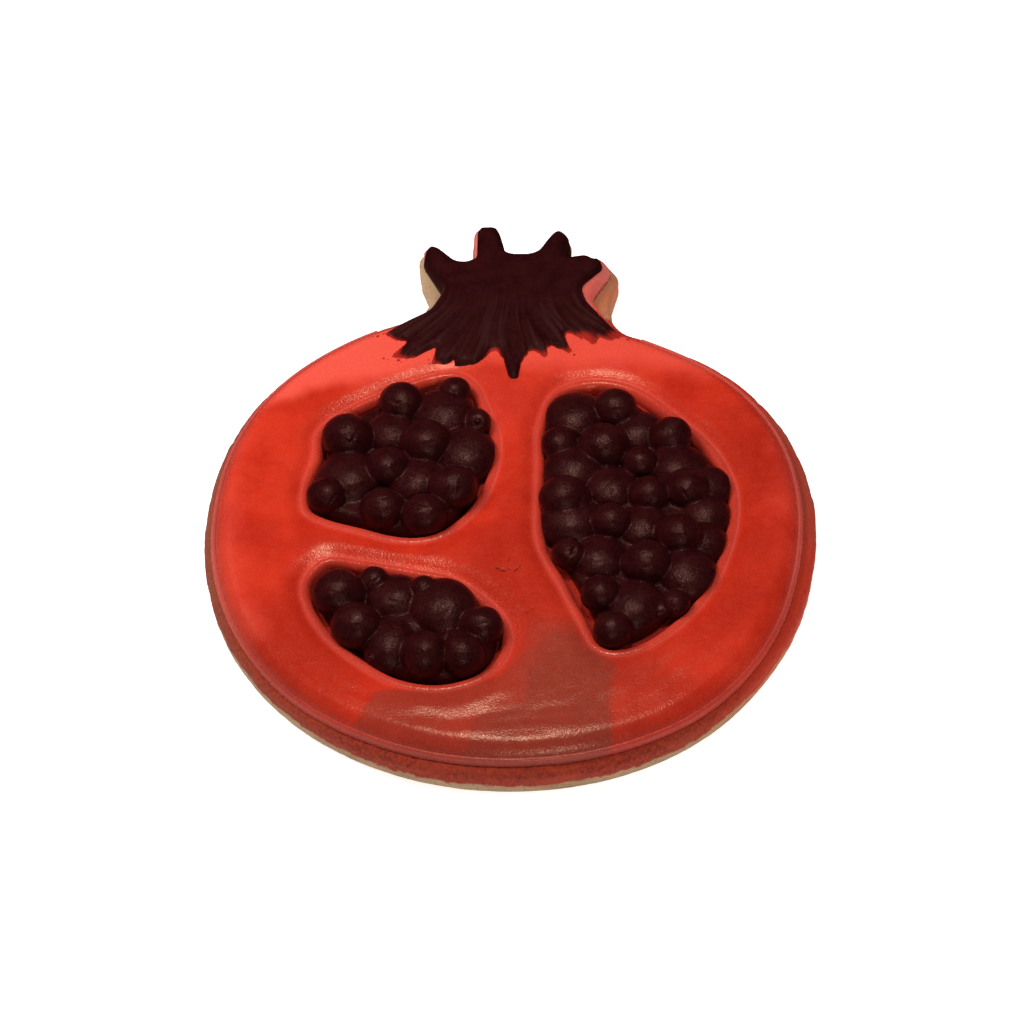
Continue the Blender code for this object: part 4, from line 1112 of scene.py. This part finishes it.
def make_biscuit():
    outline = relaxed(every(biscuit_outline(), 0.42), 3)
    rim = Edge(outline)
    rows = []
    steps = 7
    low_edge = 0.6
    for k in range(steps):
        angle = 0.5 * math.pi * k / steps
        rows.append((low_edge * (1.0 - math.sin(angle)), low_edge * (1.0 - math.cos(angle))))
    rows += [(0.0, z) for z in np.linspace(low_edge, BISCUIT_TOP - BISCUIT_EDGE, 8)]
    for k in range(1, steps + 1):
        angle = 0.5 * math.pi * k / steps
        rows.append((BISCUIT_EDGE * (1.0 - math.cos(angle)),
                     BISCUIT_TOP - BISCUIT_EDGE * (1.0 - math.sin(angle))))
    rows += [(1.1 + 0.45 * k, BISCUIT_TOP) for k in range(1, 8)]
    verts = []
    for inward, z in rows:
        verts += [(x, y, z) for x, y in inset(outline, inward)]
    count = len(outline)
    faces = []
    for level in range(len(rows) - 1):
        low = level * count
        for k in range(count):
            n = (k + 1) % count
            faces.append((low + k, low + n, low + count + n, low + count + k))

    def cap(first, loop, z, spacing):
        """Fills the loop of points that starts at one vertex with an even mesh."""
        edge = Edge(loop)
        grid = triangle_grid(loop.min(axis=0), loop.max(axis=0), spacing)
        grid = grid[edge.depth(grid) > 0.6 * spacing]
        links = [(k, (k + 1) % count) for k in range(count)]
        spots = [tuple(p) for p in np.vstack((loop, grid))]
        made = delaunay_2d_cdt(spots, links, [], 0, 1e-5)
        ids = {}
        for order, sources in enumerate(made[3]):
            for source in sources:
                if source < count:
                    ids[order] = first + source
        flat = np.array([tuple(v) for v in made[0]])
        for order, spot in enumerate(flat):
            if order not in ids:
                ids[order] = len(verts)
                verts.append((spot[0], spot[1], z))
        middles = np.array([flat[list(f)].mean(axis=0) for f in made[2]])
        for f, inside in zip(made[2], edge.depth(middles) > 0.0):
            if inside:
                faces.append(tuple(ids[k] for k in f))

    cap((len(rows) - 1) * count, np.array(verts[-count:])[:, :2], BISCUIT_TOP, 1.3)
    cap(0, np.array(verts[:count])[:, :2], 0.0, 1.0)
    made = add_mesh("biscuit_baked", verts, faces, baked)
    spots = mesh_points(made)
    normals = mesh_normals(made)
    depth = rim.depth(spots)
    under = 1.0 - ease(spots[:, 2], 0.02, 0.5)
    edge = 1.0 - ease(depth, 1.5, 4.0)
    push = 0.11 * rough(spots, 5.0, 31) + 0.075 * rough(spots, 1.3, 32, 3)
    pits = np.clip(rough(spots, 0.9, 33, 2) - 0.45, 0.0, 1.0)
    push = push - 0.35 * pits * edge
    push = np.where(under > 0.0, -np.abs(push) * (0.3 + 0.7 * (1.0 - under)), push)
    spots = spots + normals * (push * (0.25 + 0.75 * edge))[:, None]
    spots[:, 2] = np.clip(spots[:, 2], 0.0, BISCUIT_TOP + 0.05)
    set_mesh_points(made, spots)
    crown = ease(spots[:, 1], 40.5, 43.0)
    fall = BISCUIT_TOP - 2.4 + 0.45 * rough(spots, 3.0, 34, 3) + 0.25 * rough(spots, 0.8, 35)
    sprayed = ease(spots[:, 2], fall - 0.7, fall + 0.6) * (1.0 - crown)
    point_attribute(made, "sprayed", np.clip(sprayed, 0.0, 1.0))
    right_side = ease(spots[:, 0] + 0.25 * spots[:, 1], 12.0, 34.0)
    blush = np.maximum(0.85 * right_side * (1.0 - crown),
                       crown * ease(spots[:, 0], 8.0, 14.0) * (0.75 + 0.5 * rough(spots, 3.0, 36)))
    point_attribute(made, "blush", np.clip(blush, 0.0, 1.0))
    dull = (0.50 * ease(-spots[:, 0], 8.0, 38.0) * (1.0 - 0.75 * ease(-spots[:, 1], 8.0, 26.0))
            + 0.36 * ease(spots[:, 0], 34.0, 43.0) * ease(spots[:, 1], -12.0, 4.0)
            + 0.10 * rough(spots, 2.5, 37))
    point_attribute(made, "dull", np.clip(dull, 0.0, 1.0))
    in_wells = np.max([Edge(every(line, 1.0)).depth(spots) for line in wells.values()], axis=0)
    stained = ease(in_wells, -0.5, 0.5) * (spots[:, 2] > 3.0)
    point_attribute(made, "stained", stained)
    return made


def path_object(name, points, closed, z):
    mesh = bpy.data.meshes.new(name)
    links = [(k, k + 1) for k in range(len(points) - 1)]
    if closed:
        links.append((len(points) - 1, 0))
    mesh.from_pydata([(x * MM, y * MM, z * MM) for x, y in points], links, [])
    made = bpy.data.objects.new(name, mesh)
    bpy.context.scene.collection.objects.link(made)
    return made


def paint(made):
    spots = mesh_points(made)
    for name, values in tones(spots).items():
        point_attribute(made, name, values)
    point_attribute(made, "scuff", np.clip(scuff_field(spots) / 0.12, 0.0, 1.0))
    return made


def make_ropes():
    tree = rope_tree(red)
    rim = body_arc(2, 0.5 * RIM_ROPE_WIDTH, ROPE_END_LEFT + 2.0, ROPE_END_RIGHT - 2.0, 620)
    sunk = 1.0
    made = {}
    ring = path_object("rim_rope_piped", rim, False, BISCUIT_TOP + 0.5 * (RIM_ROPE_HEIGHT - sunk))
    made["rim_rope"] = tree.apply(ring, Half_Width=0.5 * RIM_ROPE_WIDTH * MM,
                                  Half_Height=0.5 * (RIM_ROPE_HEIGHT + sunk) * MM,
                                  Waver=0.16, Waver_Length=7.0 * MM, Seed=1.0)
    for order, (side, line) in enumerate(wells.items()):
        ring = path_object("well_rope_%s_piped" % side, inset(every(line, 0.5), -WELL_ROPE_OUT), True,
                           BISCUIT_TOP + 0.5 * (WELL_ROPE_HEIGHT - sunk))
        made["well_rope_" + side] = tree.apply(
            ring, Half_Width=WELL_ROPE_HALF * MM,
            Half_Height=0.5 * (WELL_ROPE_HEIGHT + sunk) * MM,
            Waver=0.16, Waver_Length=5.0 * MM, Seed=4.0 + order)
    for piece in made.values():
        paint(piece)
    return made


def make_flood():
    rings = (0.07, 0.16, 0.28, 0.44, 0.66, 0.94, 1.3, 1.72, 2.2)
    made = layer("red_flood_settled", flood_edge, [every(hole, 0.5) for hole in holes],
                 rings, 0.52, flood_top,
                 lambda points: np.full(len(points), BISCUIT_TOP - 0.15), red)
    return paint(made)


def make_crown():
    skirt = smooth_loop(DARK_SKIRT, 60)
    upper = [p for p in dark_edge if p[1] > 41.0]
    first = min(range(len(dark_edge)), key=lambda k: 1e9 if dark_edge[k][0] < 0
                else abs(dark_edge[k][1] - 41.0))
    loop = [dark_edge[(first + k) % len(dark_edge)] for k in range(len(dark_edge))]
    top = []
    for p in loop:
        top.append(p)
        if p[0] < 0 and p[1] < 40.6:
            break
    outline = np.vstack((np.array(top), np.array(DARK_SKIRT)))
    outline = relaxed(every(outline, 0.3), 2)
    rings = (0.05, 0.12, 0.22, 0.36, 0.55)

    def top_face(points):
        coat, dry, ridge_sheen = dark_thickness(points)
        return flood_top(points) + np.where(points[:, 1] > 41.0, np.maximum(coat, 0.25), coat)

    made = layer("crown_icing_brushed", outline, [], rings, 0.24, top_face,
                 lambda points: flood_top(points) - 0.7, crown_icing)
    fleck = bmesh.new()
    fleck.from_mesh(made.data)
    for order, (x, y, reach) in enumerate(FLECKS):
        z = flood_top(np.array([(x, y)]))[0]
        scale = Matrix.Diagonal((reach * (1.0 + 0.3 * math.sin(order * 2.3)) * MM,
                                 reach * (1.0 + 0.3 * math.cos(order * 3.1)) * MM, 0.07 * MM, 1.0))
        bmesh.ops.create_icosphere(fleck, subdivisions=2, radius=1.0,
                                   matrix=Matrix.Translation((x * MM, y * MM, z * MM)) @ scale)
    fleck.to_mesh(made.data)
    fleck.free()
    made.data.shade_smooth()
    spots = mesh_points(made)
    coat, dry, ridge_sheen = dark_thickness(spots)
    # painted sheen on the stroke crests
    point_attribute(made, "ridge_sheen", ridge_sheen)
    thin = (1.0 - ease(coat, 0.04, 0.30)) * ease(dry + 0.2 * (1.0 - ease(coat, 0.0, 0.1)), 0.1, 0.45)
    point_attribute(made, "thin", np.where(spots[:, 1] > 41.0, 0.0, np.clip(thin, 0.0, 1.0)))
    return made


def seed_mesh(side):
    """One point for each seed of a well, with its reach along three axes and its turn."""
    rows = SEEDS[side]
    mesh = bpy.data.meshes.new("seed_spots_" + side)
    spots = []
    reach = []
    turn = []
    for order, row in enumerate(rows):
        x, y, radius, lift = row[:4]
        long = row[4] if len(row) > 4 else 1.0
        drift = [noise.noise(Vector((order * 3.7 + 0.5, k * 5.3 + 0.5, len(rows) * 1.7)))
                 for k in range(4)]
        if lift < 0.4:
            spots.append((x * MM, y * MM, (BISCUIT_TOP + 0.34 * radius + lift) * MM))
            wide, tall = SPREAD, 0.84
        else:
            spots.append((x * MM, (y - 0.45) * MM, (BISCUIT_TOP + 0.36 * radius + lift + 0.56) * MM))
            wide, tall = 1.04, 0.89
        reach.append((wide * radius * (1.0 + 0.08 * drift[0]),
                      wide * radius * long * (1.0 + 0.08 * drift[1]),
                      radius * long * (tall + 0.04 * drift[2])))
        turn.append((0.10 * drift[1], 0.10 * drift[2], (3.0 if long == 1.0 else 0.2) * drift[3]))
    mesh.from_pydata(spots, [], [])
    for name, values in (("reach", reach), ("turn", turn)):
        spot = mesh.attributes.new(name, "FLOAT_VECTOR", "POINT")
        flat = np.array(values) * (MM if name == "reach" else 1.0)
        spot.data.foreach_set("vector", flat.astype(np.float32).ravel())
    return mesh


def shade_filler_mesh(side):
    """Flat core of dark seed icing that closes the small gaps below the seeds of a well; it stands in
    for the shade there.
    """
    core = every(inset(wells[side], HEAP_INSET[side]), 0.8)
    filler_rows = ((0.0, BISCUIT_TOP - 0.2), (0.0, BISCUIT_TOP + HEAP_HEIGHT - 1.0),
                   (0.35, BISCUIT_TOP + HEAP_HEIGHT - 0.3), (1.0, BISCUIT_TOP + HEAP_HEIGHT))
    count = len(core)
    corners = [(x, y, z) for inward, z in filler_rows for x, y in inset(core, inward)]
    sides = [(low + k, low + (k + 1) % count, low + count + (k + 1) % count, low + count + k)
             for low in range(0, 3 * count, count) for k in range(count)]
    sides += [tuple(reversed(range(count))), tuple(range(3 * count, 4 * count))]
    return add_mesh("filler_" + side, corners, sides, seed_icing)


def marked(made, marks):
    """Presses creases, pits and nibs into the seeds."""
    spots = mesh_points(made)
    normals = mesh_normals(made)
    tree = kdtree.KDTree(len(spots))
    for order, spot in enumerate(spots):
        tree.insert(spot, order)
    tree.balance()
    push = np.zeros(len(spots))
    up = np.array((0.0, 0.76, 0.65))
    right = np.array((1.0, 0.0, 0.0))
    for x, y, z, along, across, turn, high in marks:
        middle = np.array(tree.find((x, y, z))[0])
        gap = spots - middle
        lean = math.radians(turn)
        first = gap @ (math.cos(lean) * right + math.sin(lean) * up)
        second = gap @ (math.cos(lean) * up - math.sin(lean) * right)
        near = np.linalg.norm(gap, axis=1) < 3.0
        if along < 0.0:
            ring = np.hypot(first, second)
            push += near * high * np.exp(-((ring + along) / across) ** 2)
        else:
            push += near * high * np.exp(-(first / along) ** 2 - (second / across) ** 2)
    set_mesh_points(made, spots + normals * push[:, None])


def make_seeds(side):
    """Seeds of one well, grown together with a small fillet where they touch."""
    made = bpy.data.objects.new("seeds_%s_piped" % side, seed_mesh(side))
    bpy.context.scene.collection.objects.link(made)
    seed_tree(seed_icing).apply(made, Unevenness=0.34, Lump_Size=2.6, Seed=len(SEEDS[side]))
    wall = Edge(every(wells[side], 0.4))
    balls = mesh_points(made)
    for trial in range(3):
        far, inward = wall.nearest(balls)
        deep = np.where(wall.inside(balls), far, -far)
        over = ease(balls[:, 2], BISCUIT_TOP + WELL_ROPE_HEIGHT - 0.2,
                    BISCUIT_TOP + WELL_ROPE_HEIGHT + 1.0)
        push = np.clip(0.62 - 1.1 * over - deep, 0.0, 3.0)
        balls[:, :2] += inward * push[:, None]
    set_mesh_points(made, balls)
    shade_filler = shade_filler_mesh(side)
    joined = bmesh.new()
    joined.from_mesh(made.data)
    joined.from_mesh(shade_filler.data)
    joined.to_mesh(made.data)
    joined.free()
    bpy.data.objects.remove(shade_filler, do_unlink=True)
    remesh = made.modifiers.new("grown together", "REMESH")
    remesh.mode = "VOXEL"
    remesh.voxel_size = SEED_GRAIN * MM
    remesh.use_smooth_shade = True
    relax = made.modifiers.new("fillets", "SMOOTH")
    relax.factor = 0.5
    relax.iterations = 2
    settle(made)
    marked(made, SEED_MARKS[side])
    made.data.materials.clear()
    made.data.materials.append(seed_icing)
    made.data.shade_smooth()
    return made


biscuit = make_biscuit()
ropes = make_ropes()
flood = make_flood()
crown = make_crown()
seeds = {side: make_seeds(side) for side in SEEDS}

for piece, node, slot in (
        [(biscuit, "biscuit", "biscuit"), (flood, "red_flood", "red_icing"),
         (crown, "crown_icing", "dark_icing")]
        + [(piece, node, "red_icing_rope") for node, piece in ropes.items()]
        + [(piece, "seeds_" + side, "seed_icing") for side, piece in seeds.items()]):
    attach(piece, "root")
    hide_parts(node)


# ---------------------------------------------------------------- floor, light and camera

def make_floor():
    mesh = bpy.data.meshes.new("floor")
    span = 3.0
    mesh.from_pydata([(-span, -span, 0.0), (span, -span, 0.0), (span, span, 0.0),
                      (-span, span, 0.0)], [], [(0, 1, 2, 3)])
    made = bpy.data.objects.new("floor", mesh)
    bpy.context.scene.collection.objects.link(made)
    paper = Finish("floor_white")
    grain = paper.grain(1.2, 2.0)
    paper.set(Base_Color=paper.mix(grain, (0.90, 0.90, 0.90), (0.93, 0.93, 0.93)))
    paper.shader.inputs["Roughness"].default_value = 0.95
    paper.shader.inputs["Specular IOR Level"].default_value = 0.0
    paper.shader.inputs["Emission Color"].default_value = (1.0, 1.0, 1.0, 1.0)
    paper.shader.inputs["Emission Strength"].default_value = 0.75
    mesh.materials.append(paper.made)
    made.visible_glossy = False


def make_backdrop():
    """Pale paper wall round the floor; it lights nothing."""
    mesh = bpy.data.meshes.new("backdrop")
    count = 48
    span = 2.9
    ring = [(span * math.cos(2.0 * math.pi * k / count), span * math.sin(2.0 * math.pi * k / count))
            for k in range(count)]
    corners = [(x, y, z) for z in (-0.1, 2.8) for x, y in ring]
    mesh.from_pydata(corners, [], [(k, count + k, count + (k + 1) % count, (k + 1) % count)
                                   for k in range(count)])
    made = bpy.data.objects.new("backdrop", mesh)
    bpy.context.scene.collection.objects.link(made)
    paper = Finish("backdrop_white")
    grain = paper.grain(40.0, 2.0)
    paper.set(Base_Color=paper.mix(grain, (0.90, 0.90, 0.90), (0.93, 0.93, 0.93)))
    paper.shader.inputs["Roughness"].default_value = 0.95
    paper.shader.inputs["Specular IOR Level"].default_value = 0.0
    paper.shader.inputs["Emission Color"].default_value = (1.0, 1.0, 1.0, 1.0)
    paper.shader.inputs["Emission Strength"].default_value = 0.85
    paper.made.cycles.emission_sampling = "NONE"
    mesh.materials.append(paper.made)
    made.visible_glossy = False
    made.visible_diffuse = False
    made.visible_shadow = False


def add_light(name, azimuth, elevation, distance, size, power, gloss):
    """Soft round light aimed at the middle of the biscuit; azimuth 0 is in front of it."""
    lamp = bpy.data.lights.new(name, "AREA")
    lamp.shape = "DISK"
    lamp.size = size
    lamp.energy = power
    made = bpy.data.objects.new(name, lamp)
    bpy.context.scene.collection.objects.link(made)
    turn = math.radians(azimuth)
    rise = math.radians(elevation)
    place = Vector((math.sin(turn) * math.cos(rise), -math.cos(turn) * math.cos(rise),
                    math.sin(rise))) * distance
    made.location = place
    made.rotation_euler = place.to_track_quat("Z", "Y").to_euler()
    made.visible_camera = False
    made.visible_glossy = gloss


make_floor()
make_backdrop()
add_light("window_soft", -122.0, 46.0, 0.34, 0.17, 0.75, False)
add_light("side_fill", 78.0, 34.0, 0.40, 0.20, 0.25, False)
add_light("overhead_soft", 180.0, 82.0, 0.34, 0.060, 0.36, True)
add_light("front_soft", 10.0, 37.0, 0.9, 0.06, 0.86, True)

world = bpy.data.worlds.new("studio")
world.use_nodes = True
world.node_tree.nodes["Background"].inputs["Color"].default_value = (1.0, 1.0, 1.0, 1.0)
world.node_tree.nodes["Background"].inputs["Strength"].default_value = 0.085
world.cycles_visibility.glossy = False
bpy.context.scene.world = world
bpy.context.scene.view_settings.view_transform = "Standard"

VIEW_ELEVATION = 49.5
VIEW_DISTANCE = 350.0
VIEW_ROLL = -1.6
VIEW_TARGET = (0.43, 5.5, 0.0)
VIEW_LENS = 81.7

rise = math.radians(VIEW_ELEVATION)
lean = math.radians(VIEW_ROLL)
back = Vector((0.0, -math.cos(rise), math.sin(rise)))
right = Vector((1.0, 0.0, 0.0))
up = back.cross(right)
right_leant = right * math.cos(lean) + up * math.sin(lean)
up_leant = up * math.cos(lean) - right * math.sin(lean)
lens = bpy.data.cameras.new("camera")
lens.lens = VIEW_LENS
lens.sensor_width = 36.0
lens.clip_start = 0.01
camera = bpy.data.objects.new("camera", lens)
bpy.context.scene.collection.objects.link(camera)
place = (back * VIEW_DISTANCE + Vector(VIEW_TARGET)) * MM
camera.matrix_world = Matrix((
    (right_leant.x, up_leant.x, back.x, place.x),
    (right_leant.y, up_leant.y, back.y, place.y),
    (right_leant.z, up_leant.z, back.z, place.z),
    (0.0, 0.0, 0.0, 1.0),
))
bpy.context.scene.camera = camera
